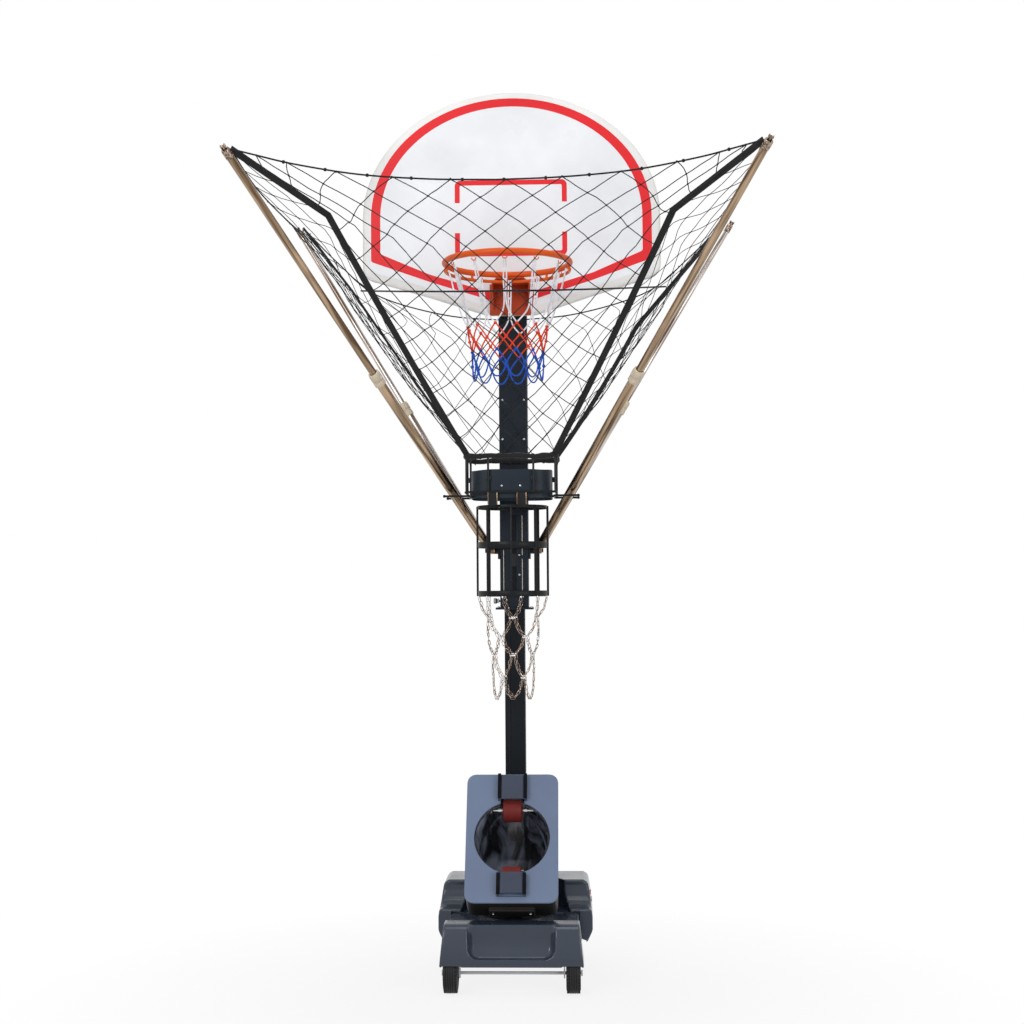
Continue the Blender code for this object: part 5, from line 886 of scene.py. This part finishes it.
HEM_Z = 2.029
KNEE_RISE = 0.74
FRONT_KNEE = (0.597, -1.100, 2.803)
REAR_KNEES = {"left": (0.662, 0.000, 2.734), "right": (0.505, -0.004, 2.570)}
REAR_KNEE_ROWS = {
    "left": [(0.450, -0.080, 2.600), (0.300, -0.100, 2.530), (0.150, -0.095, 2.490), (0.0, -0.090, 2.470)],
    "right": [(0.400, -0.050, 2.545), (0.300, -0.080, 2.520), (0.150, -0.095, 2.490), (0.0, -0.090, 2.470)],
}
FRONT_CORNER = (0.876, -1.398, 2.962)
REAR_CORNER = (0.886, 0.132, 3.028)
TIE_HALF = [(0.0, -0.810, 2.582), (0.150, -0.790, 2.585), (0.400, -0.500, 2.640), (0.625, 0.0, 2.734)]
# Cords a lattice may count to either side, and the length between two looks along a cord
CORDS = range(-26, 27)
CORD_STEP = 0.022


class Panel:
    """One side of the net: an even diamond mesh between two edges, hung from hem through knee to top."""

    def __init__(self, rows, measure, cells, phase, line=0.5):
        self.hem, self.knee, self.top = rows
        self.measure = measure
        self.cells = cells
        self.phase = phase
        down = [self.at(line, k / 60) for k in range(61)]
        self.lengths = [0.0]
        for first, second in zip(down, down[1:]):
            self.lengths.append(self.lengths[-1] + (second - first).length)

    def at(self, share, rise):
        if rise > KNEE_RISE:
            return mix(smooth_at(self.knee, share), smooth_at(self.top, share), (rise - KNEE_RISE) / (1 - KNEE_RISE))
        part = rise / KNEE_RISE
        place = mix(smooth_at(self.hem, share), smooth_at(self.knee, share), part)
        place.z -= 0.03 * 4 * part * (1 - part) * (1.0 - 0.75 * abs(2 * share - 1) ** 2)
        return place

    def rise_at(self, length):
        for index in range(60):
            if length <= self.lengths[index + 1]:
                share = (length - self.lengths[index]) / (self.lengths[index + 1] - self.lengths[index])
                return (index + share) / 60
        return 1.0

    def loose(self, place):
        """The slack of a knotted net: each place wanders a little."""
        wander = noise.noise_vector(place * 7.0) * 0.006 + noise.noise_vector(place * 23.0) * 0.0025
        return place + wander

    def spread(self, width_share, length):
        """(share across, rise) of a lattice place; the share is beyond 0 to 1 outside the edges."""
        rise = self.rise_at(length)
        low, high = self.measure(self.at(0.0, rise)), self.measure(self.at(1.0, rise))
        value = width_share * (self.cells[0] + (self.cells[1] - self.cells[0]) * rise)
        return (value - low) / (high - low) if abs(high - low) > 1e-6 else 0.5, rise

    def draw(self, net, radius, height):
        total = self.lengths[-1]
        steps = int(total / CORD_STEP)
        for lean in (-1, 1):
            for number in CORDS:
                run = []
                before = None
                for step in range(steps + 1):
                    length = total * step / steps
                    share, rise = self.spread(number + self.phase - lean * (length - total) / height, length)
                    inside = 0.0 <= share <= 1.0
                    if before is not None and inside != (0.0 <= before[0] <= 1.0):
                        limit = 0.0 if min(share, before[0]) < 0.0 else 1.0
                        part = (limit - before[0]) / (share - before[0])
                        run.append(self.at(limit, before[1] + (rise - before[1]) * part))
                        if not inside:
                            self.lay(net, run, radius)
                            run = []
                    if inside:
                        run.append(self.at(share, rise))
                    before = (share, rise)
                self.lay(net, run, radius)
        for row in range(int(total / height * 2) + 1):
            length = total - row * height / 2
            if length < 0.02:
                continue
            for number in CORDS:
                share, rise = self.spread(number + self.phase + (0.5 if row % 2 else 0.0), length)
                if 0.02 < share < 0.98:
                    net.knot(self.loose(self.at(share, rise)), radius * 2.1)

    def lay(self, net, run, radius):
        if len(run) < 2:
            return
        eased = []
        for index, place in enumerate(run):
            ends = min(index, len(run) - 1 - index)
            eased.append(mix(place, self.loose(place), min(ends / 2.0, 1.0)))
        net.draw("cord", eased, radius, 5)


def strap_section(width, low=0.0011):
    half = width / 2
    return [(-low, -half), (low, -half), (low * 1.6, 0.0), (low, half), (-low, half), (-low * 1.6, 0.0)]


def slack(first, second, count, drop):
    """Places from one point to another, hanging through between them."""
    places = runs(first, second, count) + [Vector(second)]
    for index, place in enumerate(places):
        place.z -= drop * 4 * (index / count) * (1 - index / count)
    return places


def catch_net():
    net = ZonedNet()
    for side, _, sign in SIDES:
        def mirrored(*points):
            return [(sign * x, y, z) for x, y, z in points]

        front = (mirrored((0.0, -0.335, HEM_Z), (0.085, -0.335, HEM_Z), (0.172, -0.335, HEM_Z)),
                 mirrored((0.0, -1.130, 2.660), (0.300, -1.125, 2.695), FRONT_KNEE),
                 mirrored((0.0, -1.405, 2.843), (0.220, -1.405, 2.849), (0.450, -1.405, 2.868),
                          (0.660, -1.405, 2.905), (0.790, -1.403, 2.938), FRONT_CORNER))
        flank = (mirrored((0.172, -0.335, HEM_Z), (0.174, -0.195, HEM_Z), (0.172, -0.056, HEM_Z)),
                 mirrored(FRONT_KNEE, (0.665, -0.550, 2.700), REAR_KNEES[side]),
                 mirrored(FRONT_CORNER, (0.850, -1.080, 2.905), (0.820, -0.630, 2.890), (0.842, -0.180, 2.945),
                          REAR_CORNER))
        rear = (mirrored((0.172, -0.056, HEM_Z), (0.085, -0.056, HEM_Z), (0.0, -0.056, HEM_Z)),
                mirrored(REAR_KNEES[side], *REAR_KNEE_ROWS[side]),
                mirrored(REAR_CORNER, (0.720, 0.000, 2.850), (0.550, -0.085, 2.700), (0.270, -0.115, 2.610),
                         (0.0, -0.105, 2.585)))
        for panel, height, radius in (
                (Panel(front, lambda p: sign * p.x, (0.104, 0.146), 0.19 * sign, 0.0), 0.158, 0.0018),
                (Panel(flank, lambda p: p.y, (0.080, 0.155), 0.30), 0.150, 0.0013),
                (Panel(rear, lambda p: sign * p.x, (0.095, 0.146), 0.20 * sign, 1.0), 0.150, 0.0013)):
            panel.draw(net, radius, height)
        for (hem, knee, top), counts, drop, width, normal in (
                (front, (24, 10), 0.010, 0.024, (sign * 0.30, -0.92, 0.25)),
                (flank, (20, 8), *((0.006, 0.010) if sign < 0 else (0.020, 0.018)), (sign * 0.25, -0.95, 0.2))):
            run = slack(hem[-1], knee[-1], counts[0], drop) + runs(knee[-1], top[-1], counts[1], 1)
            net.draw("strap", run, 0.0, 6, strap_section(width), normal)
        for top, radius in ((front[2], 0.0030), (flank[2], 0.0026), (rear[2], 0.0026)):
            net.draw("cord", [smooth_at(top, k / 40) for k in range(41)], radius, 8)
        top_cord = [smooth_at(front[2], k / 40) for k in range(41)]
        for x in ((k + 0.19 * sign) * 0.146 for k in range(-1, 7)):
            if 0.0 < x < 0.82:
                net.knot(min(top_cord, key=lambda p: abs(sign * p.x - x)), 0.0065)
    route = [(-x, y, z) for x, y, z in TIE_HALF[:0:-1]] + TIE_HALF
    dense = [place for first, second in zip(route, route[1:]) for place in runs(first, second, 8)]
    net.draw("tie", dense + [route[-1]], 0.0034, 8)
    net.build()


# ---------------------------------------------------------------- collector and cage

def collector():
    half, front, rear, top, bottom = 0.177, -0.335, -0.056, 2.020, 1.877
    middle = (front + rear) / 2
    square = [(half, front), (half, rear), (-half, rear), (-half, front)]
    rods = Shape()
    rods.sweep(bent([(x, y, top) for x, y in square], 0.016), 0.0048, 10, closed=True)
    lower = [(x, y, bottom + (0.003 if y == front else 0.0)) for x, y in square]
    rods.sweep(bent(lower, 0.016), 0.0048, 10, closed=True)
    for sign in (-1, 1):
        for x, y in ((half - 0.004, front + 0.004), (half - 0.004, rear - 0.004), (half, middle), (0.088, front)):
            rods.sweep([(sign * x, y, bottom), (sign * x, y, top)], 0.0043, 8)
    lips = Shape()
    for left in (-0.090, 0.023):
        tab = filleted([(left, bottom - 0.050), (left + 0.038, bottom - 0.050), (left + 0.038, bottom + 0.004),
                        (left, bottom + 0.004)], [0.010, 0.010, 0.001, 0.001], 5)
        rods.rings(slices(tab, 1, front - 0.003, front + 0.001))
        for x in (left + 0.0015, left + 0.0365):
            lips.sweep([(x, front - 0.002, bottom + 0.002), (x, front - 0.0050, bottom - 0.012),
                        (x, front - 0.0050, bottom - 0.038), (x, front - 0.002, bottom - 0.046)], 0.0022, 7)
    lips.build("collector_tab_lips", FRONT_POLE, "carriage")
    for height in (top, bottom):
        rods.block((-0.035, rear - 0.002, height - 0.010), (0.035, -0.0478, height + 0.004), 0.001)
    rods.build("collector_rods", FRAME, "carriage", ["collector_frame"], "frame_paint")

    hem = Shape()
    route = bent([(x, y, top) for x, y in square], 0.020, 8)
    dense = []
    for place, after in zip(route, route[1:] + route[:1]):
        dense += runs(place, after, max(int((after - place).length / 0.012), 1))
    sizes = []
    for place in dense:
        sizes.append(0.0100 + 0.0034 * noise.noise(place * 29.0) + 0.0016 * noise.noise(place * 90.0))
        place.z += 0.005 * noise.noise(place * 15.0) + 0.001
    hem.sweep(dense, sizes, 10, closed=True)
    for k in range(22):
        place = dense[(k * len(dense)) // 22]
        hem.ball(place + Vector((0.002, -0.001, 0.0)), 0.0125, 8, (0.8, 0.8, 1.0))
        if k % 2:
            tail = place + Vector((0.006 * sin(k * 3.1), -0.004, -0.016 - 0.006 * sin(k * 1.7)))
            strand(hem, [place, mix(place, tail, 0.6) + Vector((0.003, 0.0, 0.0)), tail], 0.0018, 6)
    hem.build("net_hem", STRAP, "carriage", slot="net_black")

    band = Shape()
    inside, outside = oval(0.1578, 0.1253, middle, 72), oval(0.160, 0.1275, middle, 72)
    low, high = 1.858, 1.974
    wave = [high - 0.006 + 0.008 * noise.noise(Vector((x * 9, y * 9, 0.0))) for x, y in outside]
    brims = [[(*place, z) for place, z in zip(outline, wave)] for outline in (outside, inside)]
    band.rings(slices(outside, 2, low, (low + high) / 2) + brims + slices(inside, 2, low), closed=True, caps=False)
    for sign in (-1, 1):
        inner_x, outer_x = sorted((sign * 0.159, sign * 0.172))
        band.block((inner_x, middle - 0.010, 1.9245), (outer_x, middle + 0.010, 1.9445), 0.001)
        band.block((sign * 0.088 - 0.010, front + 0.005, 1.9245),
                   (sign * 0.088 + 0.010, middle - 0.1215, 1.9445), 0.001)
    band.build("collector_sheet", MAST, "carriage", ["collector_band"], "frame_paint")
    trim = Shape()
    for x in (-0.036, 0.036):
        trim.bolt((x, front + 0.0125, 1.905), (0, -1, 0), 0.0042, 0.002, washer=False)
    trim.build("band_screws", BOLT, "carriage")
    for side, _, sign in SIDES:
        rest = Shape()
        along, reach, level = sign * 0.1675, sign * 0.262, 1.8672
        run = [(reach, -0.2925, level), (along, -0.2925, level), (along, -0.121, level), (reach, -0.121, level)]
        rest.sweep(bent(run, 0.008, closed=False), 0.0043, 10)
        for y in (-0.2925, -0.121):
            rest.ball((reach, y, level), 0.0060, 12)
        rest.build("pole_rest_rod_" + side, FRAME, "carriage", ["pole_rest_" + side], "frame_paint")


def oval(half_width, half_depth, middle, count):
    """An outline between an ellipse and a box."""
    def drawn(share):
        return copysign(abs(share) ** 0.5, share)

    return [(half_width * drawn(cos(turn)), middle + half_depth * drawn(sin(turn)))
            for turn in (tau * step / count for step in range(count))]


RAIL_LOW = 0.330
RAIL_TOP = 1.418
RACK_PITCH = 0.0078


def cage():
    bars = Shape()
    radius = 0.1385
    for height, width in ((1.826, 0.012), (1.677, 0.023), (1.485, 0.023)):
        flat, soft = width / 2, width / 2 - min(0.0012, width / 4)
        profile = [(radius + out, level) for out, level in (
            (0.0015, soft), (0.0007, flat), (-0.0007, flat), (-0.0015, soft), (-0.0015, -soft), (-0.0007, -flat),
            (0.0007, -flat), (0.0015, -soft))]
        bars.lathe(profile, (0.0, SWIVEL_Y, height), (0, 0, 1), 80, closed=True)
        bars.block((-0.024, SWIVEL_Y + radius - 0.004, height - width * 0.4), (0.024, -0.0478, height + width * 0.4),
                   0.001)
    for angle in (0, 42, 86, 135, 225, 274, 318):
        turn = radians(angle)
        reach = Vector((0.00275 if angle == 0 else 0.00625, 0.0042 if angle in (86, 274) else 0.0024, 0.17725))
        centre = Vector((sin(turn) * (radius + 0.0008), SWIVEL_Y - cos(turn) * (radius + 0.0008), 1.65275))
        bars.block(centre - reach, centre + reach, 0.0012, Matrix.Rotation(turn, 4, "Z"))
    bars.build("cage_bars", FRAME, "carriage", ["cage"], "frame_paint")
    rivets = Shape()
    for angle in (42, 86, 274, 318):
        for height in (1.677, 1.485):
            rivets.bolt(round_cage(angle, radius + 0.0032, height), round_cage(angle, 1, 0) - round_cage(angle, 0, 0),
                        0.0032, 0.0018, washer=False)
    rivets.build("cage_rivets", FRAME, "carriage")


def mast_trim():
    bolts = Shape()
    for height in (2.270, 2.110, 1.950):
        for x in (-0.0435, 0.0435):
            bolts.bolt((x, -0.0475, height), (0, -1, 0), 0.0050, 0.003, washer=False)
    for height in (1.640, 1.560):
        bolts.bolt((0.021, -0.0475, height), (0, -1, 0), 0.0042, 0.0025, washer=False)
    for x in (-0.068, 0.068):
        for y in (-0.043, 0.043):
            bolts.bolt((x, y, 1.428), (0, 0, 1), 0.0048, 0.003)
    bolts.build("mast_bolts", BOLT, "carriage")
    edges = Shape()
    for sign in (-1, 1):
        edges.block((sign * 0.0130 - 0.0022, -0.0497, 1.486), (sign * 0.0130 + 0.0022, -0.0474, 1.806), 0.0008)
        edges.block((sign * 0.0405 - 0.0020, -0.0489, 1.470), (sign * 0.0405 + 0.0020, -0.0474, 1.846), 0.0007)
    edges.block((-0.0425, -0.0489, 1.842), (0.0425, -0.0474, 1.846), 0.0007)
    edges.build("mast_rails", MAST, "carriage", slot="mast_paint")
    # Thin cream strips on the mast's front edges are painted highlights, standing in for the light those edges catch.
    bright = Shape()
    for x, low, high in ((0.0330, 1.640, 1.800), (0.0330, 1.486, 1.625), (-0.0425, 1.486, 1.660)):
        bright.block((x - 0.0014, -0.0490, low), (x + 0.0014, -0.0474, high), 0.0005)
    bright.build("mast_painted_highlights", COLLAR, "carriage")
    rack, seam = Shape(), Shape()
    level = RAIL_LOW
    while level < RAIL_TOP:
        rack.block((-0.0350, -0.0404, level), (-0.0300, -0.0398, level + 0.0036))
        level += RACK_PITCH
    rack.build("rail_rack", RAIL, "base")
    seam.block((-0.0216, -0.0403, 0.222), (-0.0202, -0.0399, RAIL_TOP))
    seam.build("rail_seam", BLACK, "base")


# ---------------------------------------------------------------- poles

def pole(corner, side, letter, sign, root, tip, radius, collar_at, pin_axis, finish):
    """A telescopic pole: tube with its barrel, collar with a knob, slide and the fitting at its tip."""
    root, tip = Vector((sign * root[0], *root[1:])), Vector((sign * tip[0], *tip[1:]))
    axis = (tip - root).normalized()
    reach = (tip - root).length
    pin_axis = Vector(pin_axis)
    place = Matrix.Translation(root) @ axis.to_track_quat("Z", "Y").to_matrix().to_4x4()
    name = "%s_pole_%s" % (corner, side)
    arm, extension = "%s_arm_%s" % (corner, letter), "%s_extension_%s" % (corner, letter)
    outer = Shape()
    outer.lathe([(radius * 0.60, 0.0), (radius * 0.60, 0.020), (radius * 0.75, 0.026), (radius - 0.001, 0.028),
                 (radius, 0.030), (radius, collar_at - 0.002)], root, axis, 36)
    outer.lathe([(0.0068, 0.0), (0.0132, 0.0), (0.0140, 0.001), (0.0140, 0.0326), (0.0132, 0.0336), (0.0068, 0.0336)],
                root - pin_axis * 0.0168, pin_axis, 28, closed=True)
    outer.build(name + "_tube", finish, arm, [name + "_outer"], "pole_steel", place=place)
    collar = Shape()
    grip = radius + 0.004
    rings = [(radius - 0.002, -0.030), (grip - 0.0015, -0.030), (grip, -0.028), (grip, -0.012), (grip - 0.0012, -0.010),
             (grip - 0.0012, -0.004), (grip, -0.002), (grip, 0.020), (grip - 0.0020, 0.029), (radius - 0.003, 0.030)]
    collar.lathe([(size, collar_at + along) for size, along in rings], root, axis, 36, closed=True)
    ear = unit(axis.cross(Vector((0, 0, 1)))) * sign
    collar.lathe([(0.0, 0.0), (0.0055, 0.0), (0.0055, 0.0062), (0.0042, 0.0078), (0.0, 0.0078)],
                 root + axis * (collar_at + 0.004) + ear * (grip - 0.0040), ear, 16)
    collar.build(name + "_collar", COLLAR, arm)
    slim = radius - 0.0043
    inner = Shape()
    inner.lathe([(slim - 0.002, collar_at - 0.140), (slim, collar_at - 0.138), (slim, reach - 0.050),
                 (slim - 0.001, reach - 0.049)], root, axis, 32)
    inner.build(name + "_slide", finish, extension, [name + "_inner"], "pole_steel", place=place)
    fitting = Shape()
    fitting.lathe([(slim, reach - 0.052), (slim + 0.002, reach - 0.050), (slim + 0.002, reach - 0.020),
                   (slim, reach - 0.016), (0.006, reach - 0.015), (0.006, reach - 0.006)], root, axis, 28)
    cross = unit(axis.cross(Vector((0.0, 1.0, 0.25))))
    for way in (-1, 1):
        fitting.lathe([(0.0, -0.0012), (0.0088, -0.0012), (0.0095, -0.0005), (0.0095, 0.0008), (0.0088, 0.0014),
                       (0.0, 0.0014)], tip + cross * way * 0.0072 - axis * 0.006, cross, 20)
    eye = tip - axis * 0.004
    fitting.lathe([(0.0, -0.0100), (0.0040, -0.0100), (0.0040, 0.0100), (0.0, 0.0100)], eye, cross, 14)
    across = unit(axis.cross(cross))
    fitting.sweep([eye + cross * cos(turn) * 0.0082 + across * sin(turn) * 0.0082
                   for turn in (tau * k / 16 for k in range(16))], 0.0016, 7, closed=True)
    fitting.build(name + "_tip", CHAIN, extension)


def poles():
    for side, letter, sign in SIDES:
        pole("front", side, letter, sign, (0.095, -0.030, 1.660), (0.900, -1.415, 2.970), 0.018, 0.985, (1, 0, 0),
             FRONT_POLE)
        pole("rear", side, letter, sign, (0.095, 0.030, 1.660), (0.915, 0.150, 3.030), 0.015, 0.690, (0, 1, 0),
             REAR_POLE)


# ---------------------------------------------------------------- launcher and base

FACE_TURN = TO_FRAME @ Matrix.Translation(FACE_BOTTOM) @ Matrix.Rotation(-FACE_TILT, 4, "X")


def on_face(x, up, depth=0.0):
    return FACE_BOTTOM + FACE_UP * up - FACE_OUT * depth + Vector((x, 0.0, 0.0))


def launch_wheel(name, up, depth, body):
    centre = on_face(0.0, up, depth)
    half = 0.035
    side = [(0.0062, half + 0.0035), (0.0150, half + 0.0035), (0.0160, half + 0.0025), (0.0160, half),
            (0.0415, half), (0.0440, half - 0.0020)]
    tread, axle = Shape(), Shape()
    section = list(side)
    for x in (half - 0.0045 - k * (2 * half - 0.009) / 23 for k in range(24)):
        section += [(0.0450, x + 0.0009), (0.0445, x)]
    section += [(size, -x) for size, x in reversed(side)]
    tread.lathe(section, centre, (1, 0, 0), 72, closed=True)
    tread.build(name + "_tread", WHEEL_RED, body, [name + "_launch_wheel"], "wheel_red", 25.0)
    axle.lathe([(0.0, -0.0750), (0.0058, -0.0745), (0.0058, -0.0560), (0.0090, -0.0555), (0.0090, -0.0430),
                (0.0058, -0.0425), (0.0058, 0.0425), (0.0090, 0.0430), (0.0090, 0.0555), (0.0058, 0.0560),
                (0.0058, 0.1515), (0.0, 0.1518)], centre, (1, 0, 0), 28)
    axle.build(name + "_axle", BOLT, body)


def launcher():
    moulded("face_moulding", ["face_panel"], FACE, "launcher", 0.0020, 5, 0.30, FACE_TURN)
    moulded("guard_moulding", ["upper_guard", "lower_guard"], GUARD_SHADE, "launcher", 0.0018, 5, 0.35,
            FACE_TURN)
    moulded("head_moulding", ["head_shell"], SHELL, "launcher", 0.0018, 5, 0.35, FACE_TURN)
    moulded("feed_moulding", ["feed_bowl", "hopper"], FEED, "launcher", 0.0016, 14, 0.35)
    # Black strips along each guard's sides are painted shade, standing in for the shadow on the guards' side walls.
    guard_side_shade = Shape()
    for name in ("upper_guard", "lower_guard"):
        flat = [FACE_TURN.inverted() @ vert.co for vert in frame["nodes"][name].data.vertices]
        low, high = ([end(place[k] for place in flat) for k in range(3)] for end in (min, max))
        for sign in (-1, 1):
            edges = sorted((sign * (high[0] - 0.0125), sign * (high[0] - 0.0002)))
            work = Shape()
            work.block((edges[0], low[1] - 0.0006, low[2] + 0.004),
                       (edges[1], low[1] + 0.006, high[2] - 0.003), 0.0003)
            guard_side_shade.add([TO_FRAME.inverted() @ FACE_TURN @ Vector(v) for v in work.verts], work.faces)
    guard_side_shade.build("guard_painted_side_shade", GAP_SHADE, "launcher")
    launch_wheel("upper", 0.3785, 0.040, "upper_roller")
    launch_wheel("lower", 0.1035, 0.030, "lower_roller")
    screws = Shape()
    for up, depth in ((0.480, 0.1240), (0.030, 0.1655)):
        for x in (-0.150, 0.150):
            screws.bolt(on_face(x, up, depth), -FACE_OUT, 0.004, 0.002, washer=False)
    for x in (-0.070, 0.070):
        screws.bolt(on_face(x, -0.0118, 0.090), -FACE_UP, 0.0042, 0.0024)
    screws.build("head_screws", BOLT, "launcher")
    wall = Shape()
    outline = [(0.1285, 0.552), (0.1285, 0.660), (0.1255, 0.660), (0.1255, 0.552)]
    wall.rings([[(radius * sin(turn), SWIVEL_Y + radius * cos(turn), height) for radius, height in outline]
                for turn in (radians(angle) for angle in range(-52, 53, 4))])
    wall.build("chute_rear_wall", FEED, "launcher")


def bumper_form(place):
    """The bumper's scoop pressed into a dish, its lobes rounded and its foot curled under."""
    y = place.y - MAST_Y
    near = 1.0 if y < -0.558 else max((-0.500 - y) / 0.058, 0.0)
    if y > -0.500:
        return place
    share = min(max((place.z - 0.137) / 0.120, 0.0), 1.0)
    across = min(max((0.166 - abs(place.x)) / 0.024, 0.0), 1.0)
    across = across * across * (3 - 2 * across)
    deep = 0.0
    if y > -0.587:
        deep = 0.024 * sin(pi * 0.88 * share ** 0.8) * across
    lobe = 0.016 * max((place.z - 0.150) / 0.110, 0.0) ** 1.6 * (1.0 - across)
    curl = 0.014 * min(max((0.150 - place.z) / 0.045, 0.0), 1.0) ** 2
    return Vector((place.x, place.y + (deep + lobe + curl) * near, place.z))


def base():
    moulded("front_moulding", ["front_cover"], BASE, "base", 0.0024, 7, 0.30, form=bumper_form)
    moulded("rear_moulding", ["rear_cover"], BASE, "base", 0.0024, 7, 0.30)
    radius, half = 0.075, 0.027
    section = [(0.030, half * 0.80), (0.034, half), (0.060, half), (0.064, half - 0.002), (0.0735, half - 0.010),
               (0.0748, half - 0.013)]
    for k in (0.0115, 0.0035, -0.0045, -0.0125):
        section += [(0.0748, k), (0.0725, k - 0.0008), (0.0725, k - 0.0022), (0.0748, k - 0.0030)]
    section += [(0.0735, -half + 0.010), (0.064, -half + 0.002), (0.060, -half), (0.034, -half), (0.030, -half * 0.80),
                (0.0070, -half * 0.80), (0.0070, half * 0.80)]
    lug = Vector((0.0045, 0.0040, 0.0024))
    for side, letter, sign in SIDES:
        tyre, hub = Shape(), Shape()
        centre = Vector((sign * 0.2285, -0.520, radius))
        tyre.lathe(section, centre, (1, 0, 0), 72, closed=True)
        for angle in (tau * k / 36 for k in range(36)):
            for way in (-1, 1):
                spot = centre + Vector((way * (half - 0.0065), cos(angle) * 0.0700, sin(angle) * 0.0700))
                tyre.block(spot - lug, spot + lug, 0.0008, Matrix.Rotation(angle, 4, "X"))
        tyre.build("front_tyre_" + side, TYRE, "front_wheel_" + letter, ["front_wheel_" + side], "tyre")
        for way in (-1, 1):
            hub.lathe([(0.0075, 0.0), (0.0285, 0.0), (0.0285, 0.0016), (0.0240, 0.0022), (0.0130, 0.0010),
                       (0.0115, 0.0040), (0.0075, 0.0040)], centre + Vector((way * half * 0.80, 0, 0)), (way, 0, 0), 40,
                      closed=True)
        hub.build("front_hub_" + side, BLACK, "front_wheel_" + letter)
    screws, webs = Shape(), Shape()
    outline = filleted([(0.250, 0.243), (0.250, 0.136), (0.283, 0.120), (0.3030, 0.162), (0.3030, 0.218),
                        (0.2985, 0.243)], [0.0, 0.012, 0.016, 0.010, 0.004, 0.004], 5)
    for sign in (-1, 1):
        for x, y in ((0.200, -0.190), (0.225, -0.400)):
            screws.bolt((sign * x, y, 0.2322), (0, 0, 1), 0.0045, 0.002)
        webs.rings([[(sign * x, y, z) for x, z in ring]
                    for ring, y in ((drawn_in(outline, 0.0035), -0.1850), (outline, -0.1815), (outline, -0.1765))])
    screws.build("deck_screws", BLACK, "base")
    webs.build("ear_webs", BASE, "base")


# ---------------------------------------------------------------- stage, light and camera

def stage_material():
    """Pale floor that keeps the shadow near the object and is white farther off."""
    made = Finish("floor_pale", (0.82, 0.82, 0.82), 0.85, 0.0, 0.1).mottle(0.015, 2.0)
    material = made.done()
    far = made.ramp(made.vectors("LENGTH", made.place)["Value"], 0.5, 1.9, 0.84, 1.0)
    glow = made.node("Emission", {"Color": WHITE, "Strength": 1.0}).outputs[0]
    blend = made.node("MixShader", (made.maths("MULTIPLY", far, made.seen()), made.shader.outputs[0], glow))
    made.put(made.tree.nodes["Material Output"].inputs["Surface"], blend.outputs[0])
    return material


WHITE = (1.0, 1.0, 1.0, 1.0)
# Name, place, aim, size and power
LAMPS = (("key", (-3.2, -5.6, 3.8), (0.0, 0.0, 1.5), 2.6, 150.0),
         ("fill", (4.0, -5.2, 2.2), (0.0, 0.0, 1.3), 3.0, 92.0),
         ("top", (0.3, -1.2, 6.4), (0.0, 0.0, 1.2), 2.4, 45.0))
# The camera fitted to the photo: place, then yaw, pitch and roll in degrees, then focal length in millimetres
CAMERA_PLACE = (0.26085, -6.24075, 1.50607)
CAMERA_TURNS = (2.2565, 2.5934, -0.40)
CAMERA_LENS = 59.153


def stage():
    scene = bpy.context.scene
    floor = Shape()
    floor.lathe([(0.0, -0.0008), (4.0, -0.0008), (12.0, -0.0008), (40.0, -0.0008)], (0, 0, 0), (0, 0, 1), 64)
    mesh = bpy.data.meshes.new("floor")
    mesh.from_pydata(floor.verts, [], floor.faces[:-1])
    mesh.materials.append(stage_material())
    ground = bpy.data.objects.new("floor", mesh)
    scene.collection.objects.link(ground)

    scene.world = bpy.data.worlds.new("studio")
    scene.world.use_nodes = True
    sky = Nodes(scene.world.node_tree)
    back = sky.tree.nodes["Background"]
    sky.put(back.inputs["Color"], WHITE)
    sky.put(back.inputs["Strength"], sky.ramp(sky.seen(), 0.0, 1.0, 0.42, 1.0))

    for name, place, aim, size, power in LAMPS:
        lamp = bpy.data.lights.new(name, "AREA")
        lamp.energy = power
        lamp.size = size
        holder = bpy.data.objects.new(name, lamp)
        holder.location = place
        holder.rotation_euler = (Vector(aim) - Vector(place)).to_track_quat("-Z", "Y").to_euler()
        scene.collection.objects.link(holder)

    camera_data = bpy.data.cameras.new("camera")
    camera_data.lens = CAMERA_LENS
    camera_data.sensor_width = 36.0
    camera_data.clip_end = 200.0
    camera = bpy.data.objects.new("camera", camera_data)
    yaw, pitch, roll = (radians(turn) for turn in CAMERA_TURNS)
    turn = Matrix.Rotation(yaw, 4, "Z") @ Matrix.Rotation(pi / 2 + pitch, 4, "X") @ Matrix.Rotation(roll, 4, "Z")
    camera.matrix_world = Matrix.Translation(CAMERA_PLACE) @ turn
    scene.collection.objects.link(camera)
    scene.camera = camera
    scene.view_settings.view_transform = "Standard"


backboard()
hoop()
hoop_net()
chain_net()
catch_net()
collector()
cage()
mast_trim()
poles()
launcher()
base()
stage()
